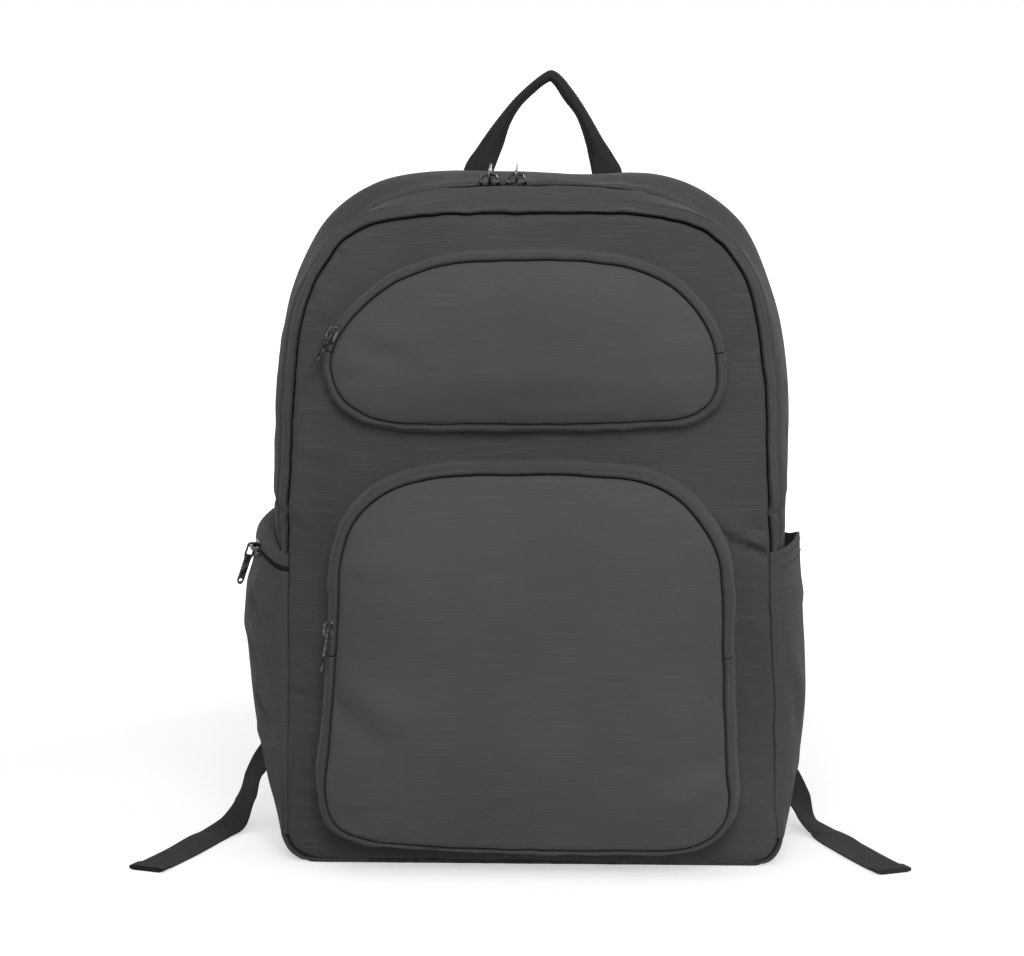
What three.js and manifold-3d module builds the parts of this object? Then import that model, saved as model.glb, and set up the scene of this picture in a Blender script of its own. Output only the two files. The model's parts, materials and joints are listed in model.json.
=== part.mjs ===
// A laptop backpack in dark polyester, zipped shut and standing on its base.
// Millimetres, +Z up, the front faces -Y, and the origin is on the floor under the middle of the body.
// Every cloth panel is a thin solid of its own, so the compartments behind them are hollow.
import * as THREE from "three";
import { mergeVertices } from "three/addons/utils/BufferGeometryUtils.js";
import Module from "manifold-3d";

const wasm = await Module();
wasm.setup();

// Front of the bag, stacked from the floor up
const lowerPocketFoot = 16;
const lowerPocketHeight = 242;
const pocketSpacing = 26;
const upperPocketHeight = 105;
const panelTopMargin = 28;
const crestRise = 23;

// Widths and depths
const bodyWidth = 331;
const panelWidth = 311;
const panelFlare = 5;
const baseTuck = 4;
const lowerPocketMargin = 27.5;
const lowerPocketFlare = 6;
const upperPocketMargin = 26;
const upperPocketShift = -3;
const bodyDepth = 110;
const topDepthShare = 0.87;
const panelBulge = 9;
const lowerPocketDepth = 27;
const lowerPocketBulge = 9;
const upperPocketDepth = 13;
const upperPocketBulge = 8;
const pocketSideSlope = 8;
const pocketEndSlope = 3;

// Outline corners
const shoulderDrop = 160;
const baseCorner = 21;
const baseLift = 2;
const lowerPocketShoulder = 92;
const lowerPocketCorner = 30;
const upperPocketArch = 72;
const upperPocketCorner = 44;

// Cloth, padding and seams
const clothWall = 1.6;
const backPadWall = 9;
const backPadBulge = 5;
const seamGap = 0.3;
const pocketSeat = 0.3;

// Zips
const zipWidth = 3;
const zipRecess = 0.8;
const mainZipPlace = 0.3;
const lowerZipDrop = 118;
const upperZipDrop = 60;

// Side pockets
const sidePocketFoot = 18;
const zippedPocketHeight = 182;
const zippedMouthSlant = 20;
const openPocketHeight = 189;
const openMouthSlant = 8;
const sideFlapHeight = 8;
const zipEndHeight = 226;
const zippedPocketSwell = 20.5;
const openPocketSwell = 13.5;

// Carry handle
const handleWidth = 20;
const webbingThickness = 1.5;
const handleSpread = 80;
const handleRise = 62;
const handleShift = 5;
const handleTuck = 26;
const handleFold = 2.7;

// Shoulder straps, buckles and their webbing
const strapTopDrop = 38;
const strapFootHeight = 132;
const strapTopSpread = 96;
const strapFootSpread = 206;
const strapWidth = 62;
const strapThickness = 11;
const strapBow = 34;
const strapWebbingWidth = 24;
const buckleHeight = 24;
const buckleThickness = 4;
const buckleRail = 4.5;
const webbingAnchorHeight = 24;
const webbingAnchorLength = 18;
const webbingAnchorLean = 6;
const tailHemLength = 11;

// Zip sliders and pullers
const sliderLength = 13;
const sliderWidth = 8;
const sliderPlate = 1.6;
const crownLength = 11;
const crownHeight = 5.4;
const crownWidth = 2.6;
const crownWire = 1.3;
const pullerLength = 27;
const pullerWidth = 4.4;
const pullerThickness = 1.2;
const pullerClearance = 0.5;
const sliderLift = 0.5;
const leftSliderPlace = 26;
const rightSliderPlace = 9;
const pocketSliderPlace = 0.96;
const sideSliderPlace = 0.3;

// Smoothness
const outlineSteps = 52;
const sidePocketSteps = 10;
const pocketSteps = 40;
const archSteps = 40;

// Heights and places worked out from the sizes above
const lowerPocketTop = lowerPocketFoot + lowerPocketHeight;
const upperPocketFoot = lowerPocketTop + pocketSpacing;
const upperPocketTop = upperPocketFoot + upperPocketHeight;
const panelTop = upperPocketTop + panelTopMargin;
const bodyHeight = panelTop + crestRise;
const strapTopHeight = bodyHeight - strapTopDrop;
const panelHalf = panelWidth / 2;
const frontSeam = -bodyDepth / 2;
const backSeam = bodyDepth / 2;
const panelMiddle = [0, panelTop / 2];
const mainZipDepth = frontSeam + mainZipPlace * bodyDepth;

// Body sections from the front seam to the back seam, as shares of the depth, swell, rise and lift
const bodyRows = [
  { depth: 0.0, swell: 0.0, rise: 0.0, lift: 1.0, xPower: 5.0, zPower: 2.5 },
  { depth: 0.1, swell: 0.32, rise: 0.27, lift: 0.25, xPower: 5.0, zPower: 2.4 },
  { depth: 0.28, swell: 0.7, rise: 0.64, lift: 0.0, xPower: 4.9, zPower: 2.1 },
  { depth: 0.5, swell: 0.96, rise: 0.93, lift: 0.0, xPower: 4.8, zPower: 1.95 },
  { depth: 0.65, swell: 1.0, rise: 1.0, lift: 0.0, xPower: 4.7, zPower: 1.9 },
  { depth: 0.85, swell: 0.85, rise: 0.9, lift: 0.0, xPower: 4.8, zPower: 2.0 },
  { depth: 1.0, swell: 0.45, rise: 0.5, lift: 0.0, xPower: 5.0, zPower: 2.2 },
];

// Soft dents and swellings: place and spread as shares of the half width and height, push as a share of
// the bulge.
const panelDents = [
  { across: 0.86, up: 0.5, wide: 0.12, high: 0.05, push: -0.35 },
  { across: -0.9, up: 0.52, wide: 0.1, high: 0.08, push: -0.25 },
  { across: 0.2, up: 0.97, wide: 0.35, high: 0.04, push: -0.25 },
];
const lowerPocketDents = [
  { across: -0.72, up: 0.5, wide: 0.3, high: 0.1, push: -0.28 },
  { across: 0.62, up: 0.2, wide: 0.3, high: 0.12, push: -0.22 },
  { across: -0.45, up: 0.32, wide: 0.3, high: 0.12, push: 0.2 },
];
const upperPocketDents = [
  { across: -0.6, up: 0.62, wide: 0.25, high: 0.2, push: -0.2 },
  { across: 0.1, up: 0.12, wide: 0.4, high: 0.1, push: -0.3 },
];

// Side pocket swelling up its height, as shares of the height and of the swell
const zippedPocketRows = [
  { up: 0.0, swell: 0.0 },
  { up: 0.08, swell: 0.18 },
  { up: 0.15, swell: 0.36 },
  { up: 0.29, swell: 0.64 },
  { up: 0.45, swell: 0.83 },
  { up: 0.7, swell: 1.0 },
  { up: 0.84, swell: 0.95 },
  { up: 0.91, swell: 0.76 },
  { up: 1.0, swell: 0.6 },
];
const openPocketRows = [
  { up: 0.0, swell: 0.0 },
  { up: 0.08, swell: 0.42 },
  { up: 0.16, swell: 0.64 },
  { up: 0.3, swell: 0.88 },
  { up: 0.43, swell: 1.0 },
  { up: 0.63, swell: 0.9 },
  { up: 0.78, swell: 0.76 },
  { up: 0.91, swell: 0.6 },
  { up: 1.0, swell: 0.55 },
];

// Padded shoulder strap from its sewn top to its foot, as shares of the spread, drop, bow, width and
// thickness.
const strapRows = [
  { along: 0.0, spread: 0.0, bow: 0.0, width: 0.86, thick: 0.5 },
  { along: 0.12, spread: 0.02, bow: 0.3, width: 0.95, thick: 0.95 },
  { along: 0.35, spread: 0.16, bow: 0.92, width: 1.0, thick: 1.0 },
  { along: 0.6, spread: 0.5, bow: 1.0, width: 1.0, thick: 1.0 },
  { along: 0.82, spread: 0.86, bow: 0.62, width: 0.8, thick: 0.95 },
  { along: 1.0, spread: 1.0, bow: 0.34, width: 0.42, thick: 0.45 },
];

// Carry handle's outer edge from its left foot over its peak, as shares of half its width and of its rise.
// Fold is how far the webbing folds in half along its length.
const handleRows = [
  { across: -1.0, up: 0.0, fold: 0.0 },
  { across: -0.83, up: 0.21, fold: 0.28 },
  { across: -0.65, up: 0.42, fold: 0.6 },
  { across: -0.46, up: 0.62, fold: 0.95 },
  { across: -0.22, up: 0.83, fold: 1.0 },
  { across: 0.1, up: 1.0, fold: 1.0 },
  { across: 0.4, up: 0.8, fold: 1.0 },
  { across: 0.58, up: 0.61, fold: 0.95 },
  { across: 0.73, up: 0.4, fold: 0.6 },
  { across: 0.87, up: 0.2, fold: 0.28 },
  { across: 1.0, up: 0.0, fold: 0.0 },
];

// Webbing tail below the buckle. Across is a share of the half width, back of the depth and up of the
// buckle's height. The wide columns give the direction of its width.
const leftTailRows = [
  { across: 0.92, back: 0.78, up: 0.62, wideX: 0.9, wideY: 0.1, wideZ: -0.4 },
  { across: 1.09, back: 0.5, up: 0.38, wideX: 0.4, wideY: 0.3, wideZ: -0.85 },
  { across: 1.11, back: 0.18, up: 0.27, wideX: 0.35, wideY: 0.4, wideZ: -0.85 },
  { across: 1.13, back: 0.0, up: 0.155, wideX: 0.6, wideY: 0.1, wideZ: -0.7 },
  { across: 1.19, back: -0.15, up: 0.075, wideX: 0.9, wideY: -0.3, wideZ: -0.25 },
  { across: 1.32, back: -0.42, up: 0.02, wideX: 0.93, wideY: -0.37, wideZ: 0.0 },
  { across: 1.45, back: -0.67, up: 0.0, wideX: 0.96, wideY: -0.3, wideZ: 0.0 },
];
const rightTailRows = [
  { across: 0.92, back: 0.76, up: 0.5, wideX: 0.9, wideY: -0.1, wideZ: 0.4 },
  { across: 1.06, back: 0.42, up: 0.2, wideX: 0.45, wideY: -0.3, wideZ: 0.8 },
  { across: 1.07, back: 0.12, up: 0.12, wideX: 0.6, wideY: 0.0, wideZ: 0.7 },
  { across: 1.12, back: -0.08, up: 0.075, wideX: 0.9, wideY: 0.3, wideZ: 0.3 },
  { across: 1.2, back: -0.25, up: 0.035, wideX: 0.85, wideY: 0.37, wideZ: 0.2 },
  { across: 1.33, back: -0.48, up: 0.01, wideX: 0.93, wideY: 0.37, wideZ: 0.0 },
  { across: 1.43, back: -0.68, up: 0.0, wideX: 0.97, wideY: 0.22, wideZ: 0.0 },
];

const colours = {
  cloth: { color: 0x484747, roughness: 0.85, metalness: 0 },
  pocketCloth: { color: 0x4c4c4c, roughness: 0.82, metalness: 0 },
  padding: { color: 0x3c3b3b, roughness: 0.95, metalness: 0 },
  webbing: { color: 0x333230, roughness: 0.9, metalness: 0 },
  zip: { color: 0x1f1f1f, roughness: 0.8, metalness: 0 },
  metal: { color: 0x6a6a6c, roughness: 0.35, metalness: 0.9 },
  plastic: { color: 0x262626, roughness: 0.5, metalness: 0 },
};

// A table's row at a place between two of its rows, each column on a smooth curve.
function rowBetween(rows, column, at) {
  const place = THREE.MathUtils.clamp(at, rows[0][column], rows.at(-1)[column]);
  const next = Math.max(1, rows.findIndex((row) => place <= row[column]));
  const [low, high] = [rows[next - 1], rows[next]];
  const [before, after] = [rows[Math.max(next - 2, 0)], rows[Math.min(next + 1, rows.length - 1)]];
  const span = high[column] - low[column];
  const t = (place - low[column]) / span;
  const row = {};
  for (const key of Object.keys(low)) {
    const leave = ((high[key] - before[key]) / (high[column] - before[column])) * span;
    const arrive = ((after[key] - low[key]) / (after[column] - low[column])) * span;
    row[key] =
      (2 * t ** 3 - 3 * t ** 2 + 1) * low[key] +
      (t ** 3 - 2 * t ** 2 + t) * leave +
      (3 * t ** 2 - 2 * t ** 3) * high[key] +
      (t ** 3 - t ** 2) * arrive;
  }
  return row;
}

// Outlines are lists of [x, z] points that run anticlockwise as seen from the front.

// The right half, from the middle of the foot, round the corner and up to the middle of the top.
function rightHalf(section) {
  const { half, foot, top, shoulder, corner, flare = 0, xPower, zPower } = section;
  const cornerSteps = 7;
  const steps = 26;
  const path = [[0, foot]];
  for (let i = 0; i <= cornerSteps; i++) {
    const turn = ((i / cornerSteps) * Math.PI) / 2;
    path.push([half - corner * (1 - Math.sin(turn)), foot + corner * (1 - Math.cos(turn))]);
  }
  for (let i = 0; i < steps; i++) {
    const turn = ((i / steps) * Math.PI) / 2;
    const rise = Math.sin(turn) ** (2 / zPower);
    path.push([half * Math.cos(turn) ** (2 / xPower), shoulder + (top - shoulder) * rise]);
  }
  path.push([0, top]);
  return path.map(([x, z]) => {
    const below = Math.max(0, (shoulder - z) / (shoulder - foot));
    return [x * (1 + (flare / half) * below), z];
  });
}

// The part of a rising path above a height, or below it.
function cut(path, height, above) {
  const kept = [];
  path.forEach(([x, z], i) => {
    const [fromX, fromZ] = path[Math.max(i - 1, 0)];
    if (z >= height && fromZ < height) {
      const share = (height - fromZ) / (z - fromZ);
      kept.push([fromX + (x - fromX) * share, height]);
    }
    if (above ? z > height : z < height) kept.push([x, z]);
  });
  return kept;
}

const mirrored = (path) => path.map(([x, z]) => [-x, z]).reverse();

// Points at even steps along a path.
function evenly(path, count, closed) {
  const line = closed ? [...path, path[0]] : path;
  const along = [0];
  for (let i = 1; i < line.length; i++) {
    const [from, to] = [line[i - 1], line[i]];
    along.push(along[i - 1] + Math.hypot(to[0] - from[0], to[1] - from[1]));
  }
  const points = [];
  const spans = closed ? count : count - 1;
  let i = 1;
  for (let k = 0; k < count; k++) {
    const at = (along.at(-1) * k) / spans;
    while (i < line.length - 1 && along[i] < at) i++;
    const share = THREE.MathUtils.clamp((at - along[i - 1]) / (along[i] - along[i - 1]), 0, 1);
    points.push(line[i].map((value, axis) => line[i - 1][axis] + (value - line[i - 1][axis]) * share));
  }
  return points;
}

// The left half's arch can have a power of its own.
const leftHalf = (section) => rightHalf({ ...section, xPower: section.leftPower ?? section.xPower });

function wholeOutline(section, count) {
  const left = mirrored(leftHalf(section)).slice(1, -1);
  return shifted(evenly([...rightHalf(section), ...left], count, true), section);
}

function archOutline(section, height, count) {
  const right = cut(rightHalf(section), height, true);
  const left = mirrored(cut(leftHalf(section), height, true)).slice(1);
  return shifted(evenly([...right, ...left], count, false), section);
}

function footOutline(section, height, count) {
  const right = cut(rightHalf(section), height, false).slice(1);
  const left = mirrored(cut(leftHalf(section), height, false));
  return shifted(evenly([...left, ...right], count, false), section);
}

function shifted(path, { shift = 0 }) {
  return path.map(([x, z]) => [x + shift, z]);
}

// An outline moved inwards by a distance, or outwards if the distance is negative.
function inset(path, distance, closed) {
  return path.map(([x, z], i) => {
    const last = path.length - 1;
    const before = path[i > 0 ? i - 1 : closed ? last : 0];
    const after = path[i < last ? i + 1 : closed ? 0 : last];
    const [alongX, alongZ] = [after[0] - before[0], after[1] - before[1]];
    const length = Math.hypot(alongX, alongZ);
    return [x - (alongZ / length) * distance, z + (alongX / length) * distance];
  });
}

// Where a point lies in an outline: its share of the way from the middle, 0, to the outline, 1, and the
// side of the outline that it faces.
function edgePlace(outline, [middleX, middleZ], x, z) {
  const [rayX, rayZ] = [x - middleX, z - middleZ];
  let found = { share: 0, side: 0 };
  outline.forEach(([fromX, fromZ], side) => {
    const [toX, toZ] = outline[(side + 1) % outline.length];
    const [sideX, sideZ] = [toX - fromX, toZ - fromZ];
    const cross = rayX * sideZ - rayZ * sideX;
    if (Math.abs(cross) < 1e-9) return;
    const reach = ((fromX - middleX) * sideZ - (fromZ - middleZ) * sideX) / cross;
    const place = ((fromX - middleX) * rayZ - (fromZ - middleZ) * rayX) / cross;
    const within = place > -1e-6 && place < 1 + 1e-6;
    if (reach > 0 && within && 1 / reach > found.share) found = { share: 1 / reach, side };
  });
  return found;
}

const edgeShare = (outline, middle, x, z) => Math.min(1, edgePlace(outline, middle, x, z).share);

// The depth of a panel's facets at a point, for what stands on them.
function facetDepth(outline, middle, ringShares, surface, x, z) {
  const { share, side } = edgePlace(outline, middle, x, z);
  const rings = [0, ...ringShares];
  const ring = Math.min(rings.findLastIndex((value) => value <= share), rings.length - 2);
  const ends = [outline[side], outline[(side + 1) % outline.length]];
  const corner = (at, [endX, endZ]) => {
    const flat = [middle[0] + (endX - middle[0]) * at, middle[1] + (endZ - middle[1]) * at];
    return [...flat, surface(...flat)];
  };
  const near = corner(rings[ring], ends[0]);
  const far = corner(rings[ring + 1], ends[1]);
  const thirds = [corner(rings[ring + 1], ends[0])];
  if (ring > 0) thirds.unshift(corner(rings[ring], ends[1]));
  const depths = thirds.map((third) => {
    const [a, b, c] = [near, far, third];
    const area = (b[0] - a[0]) * (c[1] - a[1]) - (b[1] - a[1]) * (c[0] - a[0]);
    const onC = ((b[0] - a[0]) * (z - a[1]) - (b[1] - a[1]) * (x - a[0])) / area;
    const onB = ((x - a[0]) * (c[1] - a[1]) - (z - a[1]) * (c[0] - a[0])) / area;
    return { depth: a[2] + (b[2] - a[2]) * onB + (c[2] - a[2]) * onC, onC };
  });
  return (depths[0].onC >= 0 ? depths[0] : depths.at(-1)).depth;
}

// The bag gets shallower towards its crest, from the back seam forwards.
function tapered([x, y, z]) {
  const high = THREE.MathUtils.clamp(z / bodyHeight, 0, 1);
  const scale = 1 - (1 - topDepthShare) * high;
  return new THREE.Vector3(x, y < backSeam ? backSeam - (backSeam - y) * scale : y, z);
}

// A closed solid from a sheet: its points, the points behind them, and its triangles.
function thickened(points, backs, triangles) {
  const count = points.length;
  const edges = new Map();
  for (const [a, b, c] of triangles) {
    for (const [from, to] of [[a, b], [b, c], [c, a]]) edges.set(from + ">" + to, [from, to]);
  }
  const faces = [];
  for (const [a, b, c] of triangles) faces.push([a, b, c], [a + count, c + count, b + count]);
  for (const [from, to] of edges.values()) {
    if (edges.has(to + ">" + from)) continue;
    faces.push([to, from, from + count], [to, from + count, to + count]);
  }
  return facetedSolid([...points, ...backs], faces);
}

// Triangles over indexed points, turned to face out.
function facetedSolid(points, faces) {
  let volume = 0;
  for (const [a, b, c] of faces) {
    volume += points[a].dot(new THREE.Vector3().crossVectors(points[b], points[c]));
  }
  const outward = volume > 0 ? faces : faces.map(([a, b, c]) => [a, c, b]);
  const geometry = new THREE.BufferGeometry();
  geometry.setAttribute(
    "position",
    new THREE.Float32BufferAttribute(points.flatMap((p) => [p.x, p.y, p.z]), 3),
  );
  geometry.setIndex(outward.flat());
  return geometry;
}

function gridTriangles(rows, columns, closed) {
  const triangles = [];
  for (let i = 0; i < rows - 1; i++) {
    for (let j = 0; j < (closed ? columns : columns - 1); j++) {
      const next = (j + 1) % columns;
      const [a, b] = [i * columns + j, i * columns + next];
      const [c, d] = [(i + 1) * columns + next, (i + 1) * columns + j];
      triangles.push([a, c, b], [a, d, c]);
    }
  }
  return triangles;
}

// A cloth band: stations from front to back, each an outline with the depth of each of its points.
function band(stations, closed, wall = clothWall) {
  const outer = [];
  const inner = [];
  for (const { outline, depthAt } of stations) {
    outline.forEach(([x, z]) => outer.push(tapered([x, depthAt(x, z), z])));
    inset(outline, wall, closed).forEach(([x, z]) => inner.push(tapered([x, depthAt(x, z), z])));
  }
  return thickened(outer, inner, gridTriangles(stations.length, stations[0].outline.length, closed));
}

// A panel that fills an outline, on rings round its middle.
function panel(outline, middle, ringShares, surface, back) {
  const count = outline.length;
  const flat = [middle];
  for (const share of ringShares) {
    outline.forEach(([x, z]) => {
      flat.push([middle[0] + (x - middle[0]) * share, middle[1] + (z - middle[1]) * share]);
    });
  }
  const triangles = [];
  for (let j = 0; j < count; j++) triangles.push([0, 1 + j, 1 + ((j + 1) % count)]);
  for (const [a, b, c] of gridTriangles(ringShares.length, count, true)) {
    triangles.push([a + 1, b + 1, c + 1]);
  }
  const points = flat.map(([x, z]) => tapered([x, surface(x, z), z]));
  const backs = flat.map(([x, z]) => tapered([x, back(x, z), z]));
  return thickened(points, backs, triangles);
}

// A solid through rings of points. Each ring runs along one side and back along the other.
function lofted(rings) {
  const count = rings[0].length;
  const faces = gridTriangles(rings.length, count, true);
  const last = (rings.length - 1) * count;
  for (let j = 0; j < count / 2 - 1; j++) {
    const far = count - 1 - j;
    faces.push([j, j + 1, far], [j + 1, far - 1, far]);
    faces.push([last + j, last + far, last + j + 1], [last + j + 1, last + far, last + far - 1]);
  }
  return facetedSolid(rings.flat(), faces);
}

// Two closed geometries joined into one.
function joined(first, second) {
  const [a, b] = [first, second].map((geometry) => {
    const bare = geometry.index ? geometry.toNonIndexed() : geometry.clone();
    bare.deleteAttribute("normal");
    bare.deleteAttribute("uv");
    const merged = mergeVertices(bare, 1e-4);
    const vertProperties = merged.attributes.position.array;
    const triVerts = new Uint32Array(merged.index.array);
    return new wasm.Manifold(new wasm.Mesh({ numProp: 3, vertProperties, triVerts }));
  });
  const mesh = a.add(b).getMesh();
  const geometry = new THREE.BufferGeometry();
  geometry.setAttribute("position", new THREE.BufferAttribute(mesh.vertProperties, 3));
  geometry.setIndex(new THREE.BufferAttribute(mesh.triVerts, 1));
  return geometry;
}

const bag = new THREE.Group();

function add(name, colour, geometry) {
  const mesh = new THREE.Mesh(geometry, new THREE.MeshStandardMaterial(colours[colour]));
  mesh.name = name;
  bag.add(mesh);
  return mesh;
}

// Main body

function bodySection(depth) {
  const row = rowBetween(bodyRows, "depth", (depth - frontSeam) / bodyDepth);
  const top = panelTop + crestRise * row.rise;
  return {
    half: THREE.MathUtils.lerp(panelHalf - panelFlare, bodyWidth / 2, row.swell),
    foot: baseLift * Math.max(0, row.lift),
    top,
    shoulder: top - shoulderDrop,
    corner: baseCorner,
    flare: THREE.MathUtils.lerp(panelFlare, -baseTuck, row.swell),
    xPower: row.xPower,
    zPower: row.zPower,
  };
}

const panelOutline = wholeOutline(bodySection(frontSeam), outlineSteps);

function dentAt(dents, half, foot, height, x, z) {
  return dents.reduce((sum, dent) => {
    const acrossAway = (x / half - dent.across) / dent.wide;
    const upAway = ((z - foot) / height - dent.up) / dent.high;
    return sum + dent.push * Math.exp(-(acrossAway ** 2) - upAway ** 2);
  }, 0);
}

// The swell of a soft face: full over its middle and flat at its edge.
const domed = (share) => (1 - share ** 3) * (1 - 0.25 * (1 - share) ** 2);

function frontFace(x, z) {
  const share = edgeShare(panelOutline, panelMiddle, x, z);
  const dent = dentAt(panelDents, panelHalf, 0, panelTop, x, z) * (1 - share ** 8);
  return frontSeam - panelBulge * (domed(share) + dent);
}

function bodyBand(fromDepth, toDepth, spans, outlineAt, recess = 0) {
  const stations = [];
  for (let i = 0; i <= spans; i++) {
    const depth = fromDepth + ((toDepth - fromDepth) * i) / spans;
    stations.push({ outline: inset(outlineAt(bodySection(depth)), recess, false), depthAt: () => depth });
  }
  return band(stations, false);
}

const bandStart = frontSeam + clothWall + seamGap;
const bandFinish = backSeam - backPadWall - seamGap;
const zipFront = mainZipDepth - zipWidth / 2;
const zipBack = mainZipDepth + zipWidth / 2;
const overTop = (section) => archOutline(section, zipEndHeight + seamGap / 2, archSteps);
const underBase = (section) => footOutline(section, zipEndHeight - seamGap / 2, archSteps);

const panelRings = [0.3, 0.55, 0.7, 0.82, 0.91, 1];
const frontFacet = (x, z) => facetDepth(panelOutline, panelMiddle, panelRings, frontFace, x, z);

function mainBody() {
  const behind = (x, z) => frontFace(x, z) + clothWall;
  add("front_panel", "cloth", panel(panelOutline, panelMiddle, panelRings, frontFace, behind));
  add("gusset_front_band", "cloth", bodyBand(bandStart, zipFront - seamGap, 3, overTop));
  add("main_zip", "zip", bodyBand(zipFront, zipBack, 1, overTop, zipRecess));
  add("gusset_back_band", "cloth", bodyBand(zipBack + seamGap, bandFinish, 4, overTop));
  add("base_gusset", "cloth", bodyBand(bandStart, bandFinish, 5, underBase));
  add("back_panel", "padding", panel(backOutline, panelMiddle, [0.5, 0.8, 0.93, 1], backFace, backInside));
}

const backOutline = wholeOutline(bodySection(backSeam), 40);
const backInside = () => backSeam - backPadWall;

function backFace(x, z) {
  return backSeam + backPadBulge * (1 - edgeShare(backOutline, panelMiddle, x, z) ** 3);
}

// Front pockets: a domed face, a zip round its arch, and a gusset that slopes out to the front panel

const lowerPocket = {
  name: "lower_pocket",
  root: {
    half: panelHalf - lowerPocketMargin,
    foot: lowerPocketFoot,
    top: lowerPocketTop,
    shoulder: lowerPocketTop - lowerPocketShoulder,
    corner: lowerPocketCorner,
    flare: lowerPocketFlare,
    xPower: 4,
    zPower: 2.7,
  },
  depth: lowerPocketDepth,
  bulge: lowerPocketBulge,
  dents: lowerPocketDents,
  rings: [0.35, 0.62, 0.82, 0.94, 1],
  zipFoot: lowerPocketTop - lowerZipDrop,
};
const upperPocket = {
  name: "upper_pocket",
  root: {
    half: panelHalf - upperPocketMargin,
    foot: upperPocketFoot,
    top: upperPocketTop,
    shoulder: upperPocketTop - upperPocketArch,
    corner: upperPocketCorner,
    shift: upperPocketShift,
    xPower: 3.2,
    leftPower: 2.5,
    zPower: 2.0,
  },
  depth: upperPocketDepth,
  bulge: upperPocketBulge,
  dents: upperPocketDents,
  rings: [0.4, 0.7, 0.9, 1],
  zipFoot: upperPocketTop - upperZipDrop,
};

// A pocket's section between its face, 0, and its root on the front panel, 1.
function pocketSection({ root }, share) {
  const sideSlope = pocketSideSlope * (1 - share);
  const endSlope = pocketEndSlope * (1 - share);
  return {
    ...root,
    half: root.half - sideSlope,
    foot: root.foot + endSlope,
    top: root.top - endSlope,
    corner: root.corner - sideSlope / 2,
  };
}

function pocketMiddle({ root }) {
  return [root.shift ?? 0, (root.foot + root.top) / 2];
}

// The depth of a pocket's rim, which stands a fixed depth in front of the front seam.
const pocketRim = (pocket) => frontSeam - panelBulge - pocket.depth;

function pocketFace(pocket, outline, x, z) {
  const { root } = pocket;
  const middle = pocketMiddle(pocket);
  const share = edgeShare(outline, middle, x, z);
  const away = x - middle[0];
  const dent = dentAt(pocket.dents, root.half, root.foot, root.top - root.foot, away, z);
  return pocketRim(pocket) - pocket.bulge * (domed(share) + dent * (1 - share ** 4));
}

function pocketBand(pocket, outlineAt, fromDepth) {
  const spans = 2;
  const stations = [];
  for (let i = 0; i <= spans; i++) {
    const share = i / spans;
    const rootDepth = (x, z) => frontFacet(x, z) - seamGap - pocketSeat;
    stations.push({
      outline: outlineAt(pocketSection(pocket, share)),
      depthAt: (x, z) => fromDepth + (rootDepth(x, z) - fromDepth) * share,
    });
  }
  return band(stations, false);
}

function frontPocket(pocket) {
  const steps = 36;
  const outline = wholeOutline(pocketSection(pocket, 0), pocketSteps);
  const face = (x, z) => pocketFace(pocket, outline, x, z);
  const behind = (x, z) => face(x, z) + clothWall;
  const arch = (section) => archOutline(section, pocket.zipFoot + seamGap / 2, steps);
  const foot = (section) => footOutline(section, pocket.zipFoot - seamGap / 2, steps);
  const seat = pocketRim(pocket) + clothWall + seamGap;
  const zipStations = [seat, seat + zipWidth].map((depth) => ({
    outline: inset(arch(pocketSection(pocket, 0)), zipRecess, false),
    depthAt: () => depth,
  }));
  const { name } = pocket;
  add(name + "_face", "pocketCloth", panel(outline, pocketMiddle(pocket), pocket.rings, face, behind));
  add(name + "_zip", "zip", band(zipStations, false));
  add(name + "_arch_gusset", "cloth", pocketBand(pocket, arch, seat + zipWidth + seamGap));
  add(name + "_foot_gusset", "cloth", pocketBand(pocket, foot, seat));
}

// Side pockets wrap the base gusset from the front seam to the back seam

function bodyHalfAt(depth, height) {
  const path = rightHalf(bodySection(depth));
  const next = path.findIndex(([, z], i) => i > 1 && z >= height);
  const [[fromX, fromZ], [toX, toZ]] = [path[next - 1], path[next]];
  return fromX + ((toX - fromX) * (height - fromZ)) / (toZ - fromZ);
}

const pocketFront = bandStart + seamGap;
const pocketBack = bandFinish - seamGap;
const roundShare = (share) => Math.sin(Math.PI * share) ** 0.7;

// A point on a side pocket's outer face, side -1 for the left, and the same point one wall further in.
function sidePoint(side, share, height, swell) {
  const depth = pocketFront + (pocketBack - pocketFront) * share;
  const out = bodyHalfAt(depth, height) + seamGap + pocketSeat + clothWall + swell * roundShare(share);
  return [out, out - clothWall].map((x) => tapered([side * x, depth, height]));
}

// A sheet up the side. Its levels give the height and the swell at each share of the depth.
function sideSheet(side, levels) {
  const columns = 9;
  const outer = [];
  const inner = [];
  for (const level of levels) {
    for (let j = 0; j < columns; j++) {
      const share = j / (columns - 1);
      const [out, back] = sidePoint(side, share, ...level(share));
      outer.push(out);
      inner.push(back);
    }
  }
  return thickened(outer, inner, gridTriangles(levels.length, columns, false));
}

const spread = (from, to, spans) =>
  Array.from({ length: spans + 1 }, (_, i) => from + ((to - from) * i) / spans);

// A pocket's mouth climbs from the front and levels off towards the back.
const mouthAt = (height, slant) => (share) =>
  sidePocketFoot + height + slant * (Math.sin((share * Math.PI) / 2) - 0.6);
const zippedMouth = mouthAt(zippedPocketHeight, zippedMouthSlant);
const openMouth = mouthAt(openPocketHeight, openMouthSlant);

const zippedSwell = (up) => zippedPocketSwell * rowBetween(zippedPocketRows, "up", up).swell;
const openSwell = (up) => openPocketSwell * rowBetween(openPocketRows, "up", up).swell;

function sideLevel(up, mouth, swell) {
  return (share) => [THREE.MathUtils.lerp(sidePocketFoot, mouth(share) - seamGap, up), swell(up)];
}

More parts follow.
